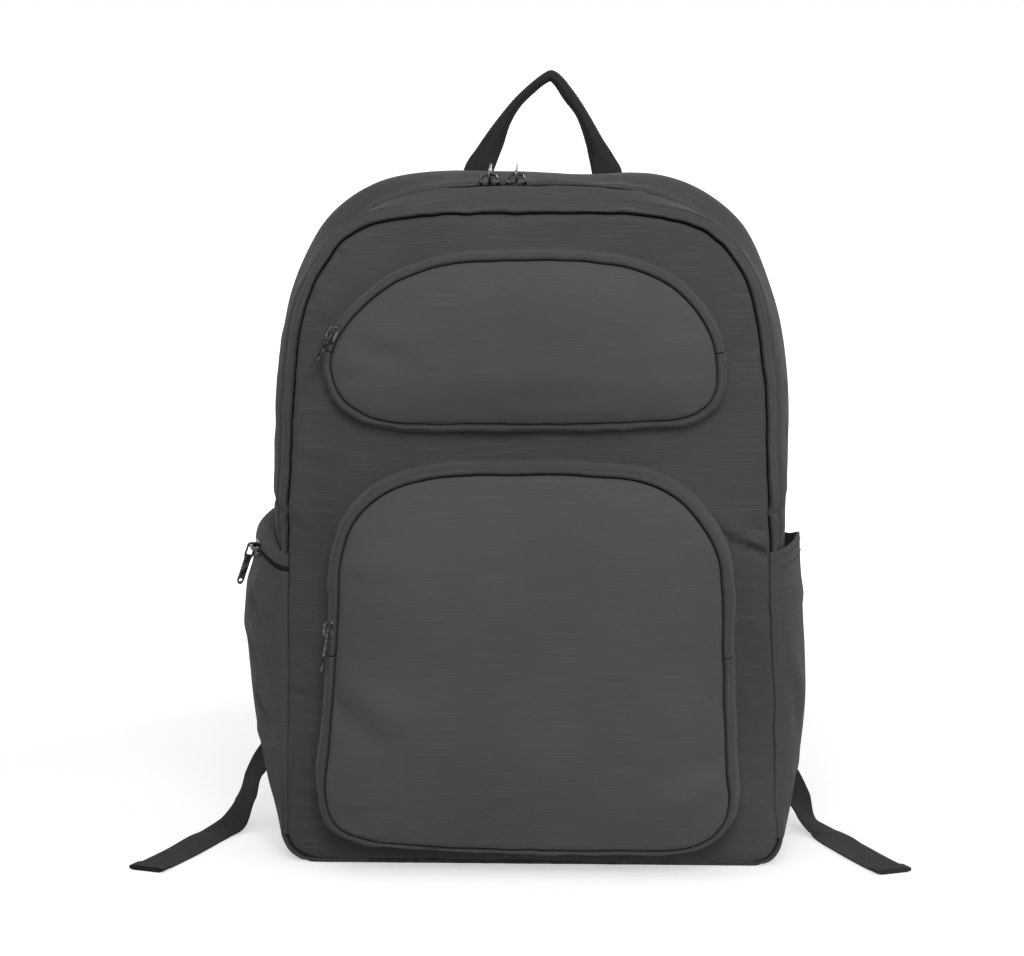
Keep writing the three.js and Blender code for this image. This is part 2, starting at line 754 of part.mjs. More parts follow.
// Above the zip the flap falls back to the body.
function flapLevel(up) {
  const foot = zipWidth + seamGap;
  const fall = Math.sqrt(1 - up ** 1.6);
  return (share) => [zippedMouth(share) + foot + sideFlapHeight * up, zippedSwell(1) * fall];
}

const zipLevel = (rise) => (share) => [zippedMouth(share) + rise, zippedSwell(1) - zipRecess];

function sidePockets() {
  const rows = spread(0, 1, sidePocketSteps);
  const zipped = rows.map((up) => sideLevel(up, zippedMouth, zippedSwell));
  const open = rows.map((up) => sideLevel(up, openMouth, openSwell));
  add("left_side_pocket", "cloth", sideSheet(-1, zipped));
  add("left_pocket_zip", "zip", sideSheet(-1, [zipLevel(0), zipLevel(zipWidth)]));
  add("left_pocket_flap", "cloth", sideSheet(-1, spread(0, 1, 4).map(flapLevel)));
  add("right_side_pocket", "cloth", sideSheet(1, open));
}

// Flat webbing of a given width and thickness round each place of a path
function webbingRing({ point, along, across, width, thick }) {
  const side = across.clone().addScaledVector(along, -across.dot(along)).normalize();
  const out = new THREE.Vector3().crossVectors(side, along).normalize();
  return [[-1, -1], [1, -1], [1, 1], [-1, 1]].map(([s, o]) =>
    point.clone().addScaledVector(side, (s * width) / 2).addScaledVector(out, (o * thick) / 2),
  );
}

// Carry handle: webbing laid flat on the back at its feet and folded in half along its length at its peak

// Eight points along a section that folds on its middle line, from the outer edge inwards.
function foldedSection(fold) {
  const bends = 4;
  const bendLength = handleWidth / 10;
  const wing = (handleWidth - bends * bendLength) / 2;
  const lengths = [wing, ...Array(bends).fill(bendLength), wing];
  let [inwards, back, turn] = [0, 0, -fold];
  const line = [[0, 0]];
  for (const length of lengths) {
    inwards += length * Math.cos(turn);
    back += length * Math.sin(turn);
    line.push([inwards, back]);
    turn = Math.min(0, turn + fold / (bends + 1));
  }
  const outermost = Math.min(...line.map(([place]) => place));
  return line.map(([place, depth]) => [place - outermost, depth - line.at(-1)[1]]);
}

function handle() {
  const seat = (x, z) => backFace(x, z) + seamGap + webbingThickness;
  const crest = bodySection(backSeam).top;
  const foot = crest - handleTuck;
  const half = (handleSpread + handleWidth) / 2;
  const rows = handleRows.map(({ across, up, fold }) => {
    return { side: handleShift + half * across, up: bodyHeight + handleRise * up, fold };
  });
  const feet = [rows[0], rows.at(-1)].map((row) => ({ ...row, up: foot }));
  const legs = [feet[0], ...rows, feet[1]];
  const curve = new THREE.CatmullRomCurve3(
    legs.map(({ side, up }) => new THREE.Vector3(side, 0, up)),
    false,
    "centripetal",
  );
  const spans = Math.round((legs.length - 1) * 1.5);
  const back = seat(handleShift, foot);
  const rings = [];
  for (let i = 0; i <= spans; i++) {
    const at = (i / spans) * (legs.length - 1);
    const low = Math.min(Math.floor(at), legs.length - 2);
    const fold = handleFold * THREE.MathUtils.lerp(legs[low].fold, legs[low + 1].fold, at - low);
    const point = curve.getPoint(i / spans);
    const along = curve.getTangent(i / spans);
    const inwards = new THREE.Vector3(along.z, 0, -along.x).normalize();
    const line = foldedSection(fold).map(([place, depth]) =>
      point.clone().addScaledVector(inwards, place).add(new THREE.Vector3(0, back + depth, 0)),
    );
    rings.push(doubled(line, along, webbingThickness));
  }
  add("carry_handle", "webbing", lofted(rings));
}

// A line of points with thickness: along it on one side and back on the other.
function doubled(line, along, thick) {
  const outs = line.map((point, i) => {
    const across = line[Math.min(i + 1, line.length - 1)].clone().sub(line[Math.max(i - 1, 0)]);
    return across.cross(along).normalize();
  });
  const front = line.map((point, i) => point.clone().addScaledVector(outs[i], thick / 2));
  const rear = line.map((point, i) => point.clone().addScaledVector(outs[i], -thick / 2));
  return [...front, ...rear.reverse()];
}

// Shoulder straps: a padded strap, a buckle on its foot, and webbing through the buckle

// A strap's place, direction and size at a share of its length. Side is -1 for the left.
function strapPlace(side, along) {
  const row = rowBetween(strapRows, "along", along);
  const x = (side * (strapTopSpread + (strapFootSpread - strapTopSpread) * row.spread)) / 2;
  const z = strapTopHeight - (strapTopHeight - strapFootHeight) * along;
  const thick = strapThickness * row.thick;
  const y = backFace(x, z) + seamGap + thick / 2 + strapBow * row.bow;
  return { point: new THREE.Vector3(x, y, z), width: strapWidth * row.width, thick };
}

function strapDirection(side, along) {
  const step = 0.01;
  const [from, to] = [Math.max(0, along - step), Math.min(1, along + step)];
  return strapPlace(side, to).point.sub(strapPlace(side, from).point).normalize();
}

function shoulderStrap(side) {
  const spans = 16;
  const rings = spread(0, 1, spans).map((along) => {
    const { point, width, thick } = strapPlace(side, along);
    const direction = strapDirection(side, along);
    const across = new THREE.Vector3(1, 0, 0).addScaledVector(direction, -direction.x).normalize();
    const out = new THREE.Vector3().crossVectors(across, direction).normalize();
    const soft = Math.min(thick / 2, width / 6);
    const ring = [
      [-width / 2, -thick / 4],
      [-width / 2 + soft, -thick / 2],
      [width / 2 - soft, -thick / 2],
      [width / 2, -thick / 4],
      [width / 2, thick / 4],
      [width / 2 - soft, thick / 2],
      [-width / 2 + soft, thick / 2],
      [-width / 2, thick / 4],
    ];
    return ring.map(([a, o]) => point.clone().addScaledVector(across, a).addScaledVector(out, o));
  });
  return lofted(rings);
}

// The buckle's frame: X across, Y up the strap and Z away from the back.
function buckleFrame(side) {
  const { point } = strapPlace(side, 1);
  const up = strapDirection(side, 1).negate();
  const across = new THREE.Vector3(1, 0, 0).addScaledVector(up, -up.x).normalize();
  const out = new THREE.Vector3().crossVectors(across, up).normalize();
  const frame = new THREE.Matrix4().makeBasis(across, up, out);
  const middle = point.addScaledVector(up, -seamGap - buckleHeight / 2);
  return frame.setPosition(middle);
}

const slotHeight = (buckleHeight - 3 * buckleRail) / 2;

function buckle() {
  const outerHalf = strapWebbingWidth / 2 + buckleRail;
  const slotHalf = strapWebbingWidth / 2 + seamGap * 2;
  const frame = rectangle(-outerHalf, outerHalf, -buckleHeight / 2, buckleHeight / 2, buckleRail / 2);
  for (const middle of [-1, 1]) {
    const centre = (middle * (slotHeight + buckleRail)) / 2;
    const [low, high] = [centre - slotHeight / 2, centre + slotHeight / 2];
    frame.holes.push(plainRectangle(-slotHalf, slotHalf, low, high));
  }
  const depth = buckleThickness;
  return new THREE.ExtrudeGeometry(frame, { depth, bevelEnabled: false }).translate(0, 0, -depth / 2);
}

function plainRectangle(left, right, low, high) {
  return new THREE.Shape([[left, low], [right, low], [right, high], [left, high]].map(pair));
}

// A rectangle with its corners cut off.
function rectangle(left, right, low, high, chamfer) {
  const corners = [
    [left + chamfer, low],
    [right - chamfer, low],
    [right, low + chamfer],
    [right, high - chamfer],
    [right - chamfer, high],
    [left + chamfer, high],
    [left, high - chamfer],
    [left, low + chamfer],
  ];
  return new THREE.Shape(corners.map(pair));
}

const pair = ([x, y]) => new THREE.Vector2(x, y);

// Webbing sewn to the back near the foot, up to the buckle, over its middle rail and down as a free tail
function strapWebbing(side, tailRows) {
  const frame = buckleFrame(side);
  const inFrame = (x, y, z) => new THREE.Vector3(x, y, z).applyMatrix4(frame);
  const acrossFrame = new THREE.Vector3(1, 0, 0).transformDirection(frame);
  const railHalf = buckleRail / 2;
  const reach = Math.hypot(buckleThickness / 2, railHalf) + seamGap + webbingThickness / 2;
  const thick = webbingThickness;
  const sewn = panelHalf - strapWebbingWidth * 0.75;
  const onBack = (x, z) => backFace(side * x, z) + seamGap + thick / 2;
  const slant = new THREE.Vector3(0.9, 0, side * 0.35).normalize();
  const rows = [0, 1].map((rise) => {
    const x = sewn - webbingAnchorLean * rise;
    const z = webbingAnchorHeight + webbingAnchorLength * rise;
    return { point: new THREE.Vector3(side * x, onBack(x, z) + rise, z), across: slant };
  });
  rows.push({ point: inFrame(0, -buckleHeight / 2 - reach, -reach), across: acrossFrame });
  const turns = 6;
  for (let i = 0; i <= turns; i++) {
    const turn = (Math.PI * i) / turns;
    rows.push({ point: inFrame(0, reach * Math.sin(turn), -reach * Math.cos(turn)), across: acrossFrame });
  }
  rows.push({ point: inFrame(0, -buckleHeight / 2 - reach, reach), across: acrossFrame });
  const buckleUp = frame.elements[14];
  for (const { across, back, up, wideX, wideY, wideZ } of tailRows) {
    rows.push({
      point: new THREE.Vector3((side * across * bodyWidth) / 2, back * bodyDepth, thick / 2 + up * buckleUp),
      across: new THREE.Vector3(wideX, wideY, wideZ).normalize(),
    });
  }
  return webbingAlong(rows, thick);
}

function webbingAlong(rows, thick) {
  const points = rows.map(({ point }) => point);
  const curve = new THREE.CatmullRomCurve3(points, false, "centripetal");
  const places = [];
  points.forEach((point, i) => {
    if (i === points.length - 1) return;
    const parts = Math.max(1, Math.ceil(point.distanceTo(points[i + 1]) / strapWebbingWidth));
    for (let k = 0; k < parts; k++) places.push(i + k / parts);
  });
  const last = points.length - 1;
  const hem = tailHemLength / points[last].distanceTo(points[last - 1]);
  places.push(last - hem - 0.01, last - hem, last);
  places.sort((a, b) => a - b);
  return lofted(
    places.map((place) => {
      const low = Math.min(Math.floor(place), last - 1);
      const across = rows[low].across.clone().lerp(rows[low + 1].across, place - low);
      const hemmed = place >= last - hem;
      const point = curve.getPoint(place / last);
      if (hemmed) point.z += thick / 2;
      const ring = webbingRing({
        point,
        along: curve.getTangent(place / last),
        across,
        width: strapWebbingWidth,
        thick: hemmed ? thick * 2 : thick,
      });
      const sunk = Math.min(0, ...ring.map(({ z }) => z));
      ring.forEach((corner) => (corner.z -= sunk));
      return ring;
    }),
  );
}

function straps() {
  for (const [side, label, tailRows] of [[-1, "left", leftTailRows], [1, "right", rightTailRows]]) {
    add(label + "_shoulder_strap", "padding", shoulderStrap(side));
    add(label + "_strap_webbing", "webbing", strapWebbing(side, tailRows));
    const mesh = add(label + "_buckle", "plastic", buckle());
    buckleFrame(side).decompose(mesh.position, mesh.quaternion, mesh.scale);
  }
}

// Zip sliders and pullers

// A slider in its own frame: X along the zip, Z away from the cloth.
function slider() {
  const plate = rectangle(-sliderLength / 2, sliderLength / 2, -sliderWidth / 2, sliderWidth / 2, 2);
  const plateSolid = new THREE.ExtrudeGeometry(plate, { depth: sliderPlate, bevelEnabled: false });
  const crown = crownOutline(crownLength / 2, crownHeight, 0);
  crown.holes.push(crownOutline(crownLength / 2 - crownWire, crownHeight - crownWire, crownWire / 2));
  const crownSolid = new THREE.ExtrudeGeometry(crown, { depth: crownWidth, bevelEnabled: false });
  crownSolid.rotateX(Math.PI / 2).translate(0, crownWidth / 2, sliderPlate - crownWire / 2);
  return joined(plateSolid, crownSolid);
}

function crownOutline(half, height, foot) {
  const shoulder = Math.min(half, height - foot) * 0.55;
  const corners = [
    [-half, foot],
    [half, foot],
    [half, height - shoulder],
    [half - shoulder * 0.35, height - shoulder * 0.3],
    [half - shoulder, height],
    [-half + shoulder, height],
    [-half + shoulder * 0.35, height - shoulder * 0.3],
    [-half, height - shoulder],
  ];
  return new THREE.Shape(corners.map(pair));
}

// A puller in its own frame: X from its pivot to its tip. Its window takes the crown.
function puller(windowStart) {
  const windowHalf = crownWidth / 2 + pullerClearance;
  const eyeHalf = windowHalf + pullerThickness;
  const windowLength = crownLength / 2 + sliderPlate + pullerClearance;
  const windowEnd = windowStart + windowLength;
  const eyeStart = windowStart - pullerThickness;
  const eyeCorner = windowStart + pullerThickness / 2;
  const tip = pullerLength;
  const halfWidth = pullerWidth / 2;
  const outline = new THREE.Shape(
    [
      [eyeStart, -halfWidth / 2],
      [eyeCorner, -eyeHalf],
      [windowEnd, -eyeHalf],
      [windowEnd + eyeHalf, -halfWidth],
      [tip - halfWidth, -halfWidth],
      [tip, -halfWidth / 2],
      [tip, halfWidth / 2],
      [tip - halfWidth, halfWidth],
      [windowEnd + eyeHalf, halfWidth],
      [windowEnd, eyeHalf],
      [eyeCorner, eyeHalf],
      [eyeStart, halfWidth / 2],
    ].map(pair),
  );
  outline.holes.push(plainRectangle(windowStart, windowEnd, -windowHalf, windowHalf));
  const hole = halfWidth * 0.5;
  const holeMiddle = tip - halfWidth * 1.3;
  outline.holes.push(rectangle(holeMiddle - hole, holeMiddle + hole, -hole, hole, hole / 2));
  const depth = pullerThickness;
  return new THREE.ExtrudeGeometry(outline, { depth, bevelEnabled: false }).translate(0, 0, -depth / 2);
}

// Places a slider where the zip points along and out points away from the cloth, and hangs a puller on it.
// A puller that lies along the zip turns under the crown, and one that lies across it turns round the crown.
function zipPull(name, { point, along, out, lie, across }) {
  const up = out.clone().addScaledVector(along, -out.dot(along)).normalize();
  const side = new THREE.Vector3().crossVectors(up, along);
  const sliderMesh = add(name + "_slider", "metal", slider());
  sliderMesh.quaternion.setFromRotationMatrix(new THREE.Matrix4().makeBasis(along, side, up));
  sliderMesh.position.copy(point).addScaledVector(up, sliderLift);
  const inside = sliderPlate + (crownHeight - crownWire * 1.5) / 2;
  const onWire = sliderPlate + crownHeight - crownWire;
  const pivotHeight = sliderLift + (across ? onWire : inside);
  const reach = lie.clone().addScaledVector(up, -lie.dot(up));
  if (across) reach.addScaledVector(along, -reach.dot(along));
  reach.normalize();
  const fall = Math.asin((pivotHeight - pullerThickness * (across ? 2.6 : 1.2)) / pullerLength);
  const direction = reach.multiplyScalar(Math.cos(fall)).addScaledVector(up, -Math.sin(fall));
  const face = across ? along.clone() : side.clone().cross(direction).normalize();
  const edge = new THREE.Vector3().crossVectors(face, direction);
  const windowStart = across ? -crownWidth / 2 - pullerClearance : pullerThickness / 2;
  const mesh = add(name + "_puller", "metal", puller(windowStart));
  mesh.quaternion.setFromRotationMatrix(new THREE.Matrix4().makeBasis(direction, edge, face));
  mesh.position.copy(point).addScaledVector(up, pivotHeight);
}

// A place on a zip from two outlines on either side of it, at a share of their length. Along runs the way
// the outlines run and out points away from the cloth.
function zipPlace(sides, share) {
  const [before, after] = sides.map(({ outline, depthAt }) => {
    const at = share * (outline.length - 1);
    const low = Math.min(Math.floor(at), outline.length - 2);
    return [outline[low], outline[low + 1]].map(([x, z]) => tapered([x, depthAt(x, z), z]));
  });
  const at = share * (sides[0].outline.length - 1);
  const part = at - Math.min(Math.floor(at), sides[0].outline.length - 2);
  const [front, back] = [before, after].map(([from, to]) => from.clone().lerp(to, part));
  const along = before[1].clone().sub(before[0]).normalize();
  const across = back.clone().sub(front).normalize();
  const out = new THREE.Vector3().crossVectors(across, along).normalize();
  return { point: front.lerp(back, 0.5), along, out };
}

function pocketZipPlace(pocket, share) {
  const rim = pocketRim(pocket);
  const arch = (at) => archOutline(pocketSection(pocket, at), pocket.zipFoot, archSteps);
  const root = (x, z) => frontFacet(x, z) - seamGap - pocketSeat;
  const seat = rim + clothWall + seamGap + zipWidth;
  const part = 0.3;
  return zipPlace(
    [
      { outline: arch(0), depthAt: () => rim },
      { outline: arch(part), depthAt: (x, z) => THREE.MathUtils.lerp(seat, root(x, z), part) },
    ],
    share,
  );
}

function zipPulls() {
  const beside = [-1, 1].map((way) => {
    const depth = mainZipDepth + (way * sliderWidth) / 2;
    return { outline: overTop(bodySection(depth)), depthAt: () => depth };
  });
  const top = beside[0].outline;
  const run = top.reduce((sum, [x, z], i) => {
    return i ? sum + Math.hypot(x - top[i - 1][0], z - top[i - 1][1]) : 0;
  }, 0);
  const back = new THREE.Vector3(0, 1, 0);
  for (const [label, place] of [["left", leftSliderPlace], ["right", rightSliderPlace]]) {
    zipPull("main_" + label, { ...zipPlace(beside, 0.5 + place / run), lie: back, across: true });
  }
  for (const pocket of [upperPocket, lowerPocket]) {
    const place = pocketZipPlace(pocket, pocketSliderPlace);
    const along = place.along.clone().negate();
    zipPull(pocket.name, { ...place, along, lie: place.along, across: false });
  }
  sidePull();
}

function sidePull() {
  const step = 0.05;
  const at = (fall, share) => {
    const swell = zippedSwell(1 - fall / zippedPocketHeight);
    return sidePoint(-1, share, zippedMouth(share) + zipWidth / 2 - fall, swell)[0];
  };
  const place = sideSliderPlace;
  const along = at(0, place + step).sub(at(0, place - step)).normalize();
  const up = at(0, place).sub(at(pullerLength, place)).normalize();
  const out = new THREE.Vector3().crossVectors(up, along).normalize();
  if (out.x > 0) out.negate();
  const down = new THREE.Vector3(0, 0, -1);
  zipPull("side_pocket", { point: at(0, place), along, out, lie: down, across: true });
}

mainBody();
frontPocket(lowerPocket);
frontPocket(upperPocket);
sidePockets();
handle();
straps();
zipPulls();

export default bag;
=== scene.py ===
import json
import math

import bmesh
import bpy
import numpy as np
from mathutils import Matrix, Vector


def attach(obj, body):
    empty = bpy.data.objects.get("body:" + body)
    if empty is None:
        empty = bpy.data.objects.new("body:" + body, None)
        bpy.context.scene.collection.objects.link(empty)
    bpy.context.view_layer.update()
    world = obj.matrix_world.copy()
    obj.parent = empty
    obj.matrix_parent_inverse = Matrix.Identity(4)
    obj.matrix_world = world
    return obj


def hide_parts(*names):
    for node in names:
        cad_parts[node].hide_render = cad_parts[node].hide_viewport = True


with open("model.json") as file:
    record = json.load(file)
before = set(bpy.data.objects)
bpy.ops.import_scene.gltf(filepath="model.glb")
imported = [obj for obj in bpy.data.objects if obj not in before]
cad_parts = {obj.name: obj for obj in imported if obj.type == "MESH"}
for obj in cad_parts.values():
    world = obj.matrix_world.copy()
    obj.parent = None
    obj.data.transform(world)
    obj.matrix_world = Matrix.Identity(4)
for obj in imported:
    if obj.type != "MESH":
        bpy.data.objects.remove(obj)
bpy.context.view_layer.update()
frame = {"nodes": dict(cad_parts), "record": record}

# A zipped laptop backpack in charcoal polyester, standing on its base.
# Shapes are worked out in millimetres and turned into metres when a mesh is made.

print("frame loaded")


# Nodes and colours

def feed(tree, node, inputs):
    for key, value in inputs.items():
        if isinstance(value, bpy.types.NodeSocket):
            tree.links.new(value, node.inputs[key])
        else:
            node.inputs[key].default_value = value


# Adds a node. Its inputs are given by name, or by number as n0, n1 and so on.
def put(tree, kind, settings=None, **inputs):
    node = tree.nodes.new(kind)
    for key, value in (settings or {}).items():
        setattr(node, key, value)
    feed(tree, node, {int(key[1:]) if key[1:].isdigit() else key: value for key, value in inputs.items()})
    return node


def sums(tree, kind, first, second):
    return put(tree, "ShaderNodeMath", {"operation": kind}, n0=first, n1=second).outputs[0]


def weighed(tree, first, firstShare, second, secondShare):
    parts = [sums(tree, "MULTIPLY", *pair) for pair in ((first, firstShare), (second, secondShare))]
    return sums(tree, "ADD", *parts)


def wave(tree, value, pitch):
    return sums(tree, "SINE", sums(tree, "MULTIPLY", value, 2 * math.pi / pitch), 0.0)


def noise(tree, place, scale, detail):
    return put(tree, "ShaderNodeTexNoise", None, Vector=place, Scale=scale, Detail=detail).outputs["Fac"]


def stretched(tree, place, scale):
    return put(tree, "ShaderNodeMapping", None, Vector=place, Scale=scale).outputs[0]


# Carries a value from one span over to another
def spread(tree, value, low=0.0, high=1.0, first=0.0, last=1.0):
    node = put(tree, "ShaderNodeMapRange", None, n0=value, n1=low, n2=high, n3=first, n4=last)
    return node.outputs["Result"]


def blend(tree, share, first, second):
    return put(tree, "ShaderNodeMix", {"data_type": "RGBA"}, n0=share, n6=first, n7=second).outputs[2]


def bumped(tree, height, strength, depth, **more):
    node = put(tree, "ShaderNodeBump", None, Height=height, Strength=strength, Distance=depth, **more)
    return node.outputs[0]


def newFinish(name):
    paint = bpy.data.materials.new(name)
    paint.use_nodes = True
    return paint, paint.node_tree, paint.node_tree.nodes["Principled BSDF"]


def tone(value, warm=0.0):
    return (value * (1 + warm), value, value * (1 - warm), 1)


def newObject(name, data):
    thing = bpy.data.objects.new(name, data)
    bpy.context.scene.collection.objects.link(thing)
    return thing


# Camera, floor and light

studio = {
    "target": (-0.0123, 0.0, 0.242), "distance": 2.1, "azimuth": 2.0, "elevation": 8.0, "lens": 114.3,
    "sensor": 36, "clip": (0.05, 60), "floorHalf": 40.0, "floorTone": 0.8,
    # the floor glows more with distance, so that it is white behind the bag; the glow is painted light, and its
    # weaker part near the bag lays a painted shade round it
    "glow": (0.5, 1.1), "glowSpan": (0.45, 1.1),
    # tones of the world from below to overhead: place on the ramp, tone
    "sky": [(0.46, 0.27), (0.48, 1.0), (0.53, 1.0), (0.58, 0.3), (1.0, 0.3)],
    "lightTarget": (0, 0, 0.2),
    "boxes": {
        "overhead": {"place": (-0.3, -0.5, 2.3), "size": 1.5, "power": 7},
        "front": {"place": (0.25, -2.3, 1.45), "size": 1.2, "power": 33},
        "right": {"place": (1.9, -1.2, 0.8), "size": 0.9, "power": 9},
        "rear": {"place": (0.3, 2.3, 0.9), "size": 1.2, "power": 7},
    },
}


def aimed(thing, place, target):
    thing.location = place
    thing.rotation_mode = "QUATERNION"
    thing.rotation_quaternion = (Vector(target) - Vector(place)).to_track_quat("-Z", "Y")


def setCamera():
    data = bpy.data.cameras.new("front view")
    data.lens = studio["lens"]
    data.sensor_width = studio["sensor"]
    data.clip_start, data.clip_end = studio["clip"]
    camera = newObject("front view", data)
    turn, rise = math.radians(studio["azimuth"]), math.radians(studio["elevation"])
    back = Vector((math.sin(turn) * math.cos(rise), -math.cos(turn) * math.cos(rise), math.sin(rise)))
    target = Vector(studio["target"])
    aimed(camera, target + back * studio["distance"], target)
    bpy.context.scene.camera = camera


def softbox(name, look):
    data = bpy.data.lights.new(name, "AREA")
    data.shape = "SQUARE"
    data.size = look["size"]
    data.energy = look["power"]
    aimed(newObject(name, data), look["place"], studio["lightTarget"])


def setFloor():
    half = studio["floorHalf"]
    mesh = bpy.data.meshes.new("pale floor")
    corners = [(-half, -half, 0), (half, -half, 0), (half, half, 0), (-half, half, 0)]
    mesh.from_pydata(corners, [], [(0, 1, 2, 3)])
    floor = newObject("pale_floor", mesh)
    paint, tree, shader = newFinish("pale floor")
    place = put(tree, "ShaderNodeTexCoord").outputs["Object"]
    away = put(tree, "ShaderNodeVectorMath", {"operation": "LENGTH"}, n0=place).outputs["Value"]
    # painted light: the floor glows, less near the bag, so that a painted shade lies round the bag
    feed(tree, shader, {
        "Base Color": tone(studio["floorTone"]), "Roughness": 1.0, "Specular IOR Level": 0.0,
        "Emission Color": tone(1.0),
        "Emission Strength": spread(tree, away, *studio["glowSpan"], *studio["glow"]),
    })
    mesh.materials.append(paint)
    floor.visible_diffuse = False  # the floor takes shadows and throws no light up
    floor.visible_glossy = False


def setWorld():
    world = bpy.data.worlds.new("studio")
    bpy.context.scene.world = world
    world.use_nodes = True
    tree = world.node_tree
    place = put(tree, "ShaderNodeTexCoord").outputs["Generated"]
    up = put(tree, "ShaderNodeSeparateXYZ", None, n0=place).outputs["Z"]
    ramp = put(tree, "ShaderNodeValToRGB", None, n0=spread(tree, up, -1.0))
    stops = ramp.color_ramp.elements
    sky = studio["sky"]
    for stop, (at, value) in ((stops[0], sky[0]), (stops[1], sky[-1])):
        stop.position = at
        stop.color = tone(value)
    for at, value in sky[1:-1]:
        stops.new(at).color = tone(value)
    feed(tree, tree.nodes["Background"], {"Color": ramp.outputs["Color"]})


setCamera()
setFloor()
setWorld()
for boxName, boxLook in studio["boxes"].items():
    softbox(boxName + " softbox", boxLook)
bpy.context.scene.view_settings.view_transform = "Standard"
print("camera, floor and light set")


# Finishes

plainWeave = {
    "pitch": 0.0013, "slubScale": (26, 1300, 1), "cloudScale": 9.0, "crumpleScale": 55.0,
    "slubShare": 0.3, "cloudShare": 0.7, "cloudSpan": (0.35, 0.65), "dark": tone(0.046, 0.02),
    "light": tone(0.060, 0.02), "dashes": 0.75, "dashSpan": (0.59, 0.73), "dashGain": 1.7,
    # rib shade and its tone paint shade into the grooves between the ribs of the webbing
    "ribPitch": 0.00155, "ribShade": 0.0, "ribSpan": (-1.0, 0.4), "paintedRibShadeTone": tone(0.003),
    "roughness": 0.72, "roughSwing": 0.07, "weaveHeight": 0.7, "slubHeight": 0.4, "bump": 0.5,
    "bumpDepth": 0.0002, "crumple": 0.14, "crumpleDepth": 0.0012, "sheen": 0.12, "sheenRoughness": 0.45,
    "sheenTint": (0.9, 0.9, 0.92, 1), "gloss": 0.32,
}


# Woven cloth: crossing threads, thicker threads here and there, broad clouds of tone, and painted shade in the
# grooves between ribs where a look asks for it.
# A look says only what differs from the plain weave.
def clothFinish(name, **look):
    look = {**plainWeave, **look}
    paint, tree, shader = newFinish(name)
    place = put(tree, "ShaderNodeAttribute", {"attribute_name": "clothPlace"}).outputs["Vector"]
    split = put(tree, "ShaderNodeSeparateXYZ", None, n0=place).outputs
    solid = put(tree, "ShaderNodeTexCoord").outputs["Object"]
    weave = sums(tree, "MULTIPLY", *[wave(tree, split[axis], look["pitch"]) for axis in "XY"])
    slub = noise(tree, stretched(tree, place, look["slubScale"]), 1.0, 3.0)
    cloud = noise(tree, solid, look["cloudScale"], 2.0)
    crumple = noise(tree, solid, look["crumpleScale"], 4.0)
    mixed = weighed(tree, slub, look["slubShare"], cloud, look["cloudShare"])
    ground = blend(tree, spread(tree, mixed, *look["cloudSpan"]), look["dark"], look["light"])
    bright = tuple(min(1.0, look["dashGain"] * part) for part in look["light"][:3]) + (1,)
    threads = blend(tree, spread(tree, slub, *look["dashSpan"], 0.0, look["dashes"]), ground, bright)
    # painted shade: the colour darkens in the grooves between the webbing's ribs, where shade would fall
    ribShadeShare = spread(tree, wave(tree, split["X"], look["ribPitch"]), *look["ribSpan"], look["ribShade"], 0.0)
    high, low = look["roughness"] + look["roughSwing"], look["roughness"] - look["roughSwing"]
    height = weighed(tree, weave, look["weaveHeight"], slub, look["slubHeight"])
    fine = bumped(tree, height, look["bump"], look["bumpDepth"])
    feed(tree, shader, {
        "Base Color": blend(tree, ribShadeShare, threads, look["paintedRibShadeTone"]),
        "Roughness": spread(tree, slub, 0.0, 1.0, high, low),
        "Normal": bumped(tree, crumple, look["crumple"], look["crumpleDepth"], Normal=fine),
        "Sheen Weight": look["sheen"], "Sheen Roughness": look["sheenRoughness"],
        "Sheen Tint": look["sheenTint"], "Specular IOR Level": look["gloss"],
    })
    return paint


shellCloth = clothFinish("charcoal polyester")
bandCloth = clothFinish("charcoal polyester band", dark=tone(0.050, 0.01), light=tone(0.064, 0.01),
                        crumple=0.2)
pocketCloth = clothFinish("smooth charcoal polyester", dark=tone(0.060), light=tone(0.072), roughness=0.68,
                          crumple=0.06, dashes=0.35)
paddedCloth = clothFinish("padded polyester", pitch=0.0016, dark=tone(0.036), light=tone(0.048),
                          roughness=0.86, weaveHeight=0.9, sheen=0.08)
# the dark tape cloth is the zip tapes' own colour, and it also paints the shade in the front seam's groove
tapeAndShadeCloth = clothFinish("zip tape and painted seam shade", pitch=0.0012, dark=tone(0.010), light=tone(0.016), roughness=0.85,
                        sheen=0.02, gloss=0.2)
threadCloth = clothFinish("sewing thread", pitch=0.0006, dark=tone(0.030), light=tone(0.042), roughness=0.6,
                          weaveHeight=0.8, crumple=0.0)
# the ribbed webbing gets painted shade between its ribs
webbingCloth = clothFinish("ribbed webbing", pitch=0.0010, dark=tone(0.020, 0.03), light=tone(0.034, 0.03),
                           roughness=0.74, weaveHeight=0.6, bump=0.4, sheen=0.06, ribShade=0.85)


# Plated die-cast metal or moulded plastic, with fine scratches and rubbed patches
def hardFinish(name, look):
    paint, tree, shader = newFinish(name)
    solid = put(tree, "ShaderNodeTexCoord").outputs["Object"]
    grain = noise(tree, stretched(tree, solid, look["grainScale"]), 1.0, 5.0)
    rubbed = spread(tree, noise(tree, solid, look["rubScale"], 3.0), *look["rubSpan"])
    feed(tree, shader, {
        "Base Color": blend(tree, rubbed, look["dark"], look["light"]),
        "Roughness": spread(tree, grain, 0.0, 1.0, look["smooth"], look["rough"]),
        "Normal": bumped(tree, grain, look["bump"], look["bumpDepth"]), "Metallic": look["metallic"],
    })
    return paint


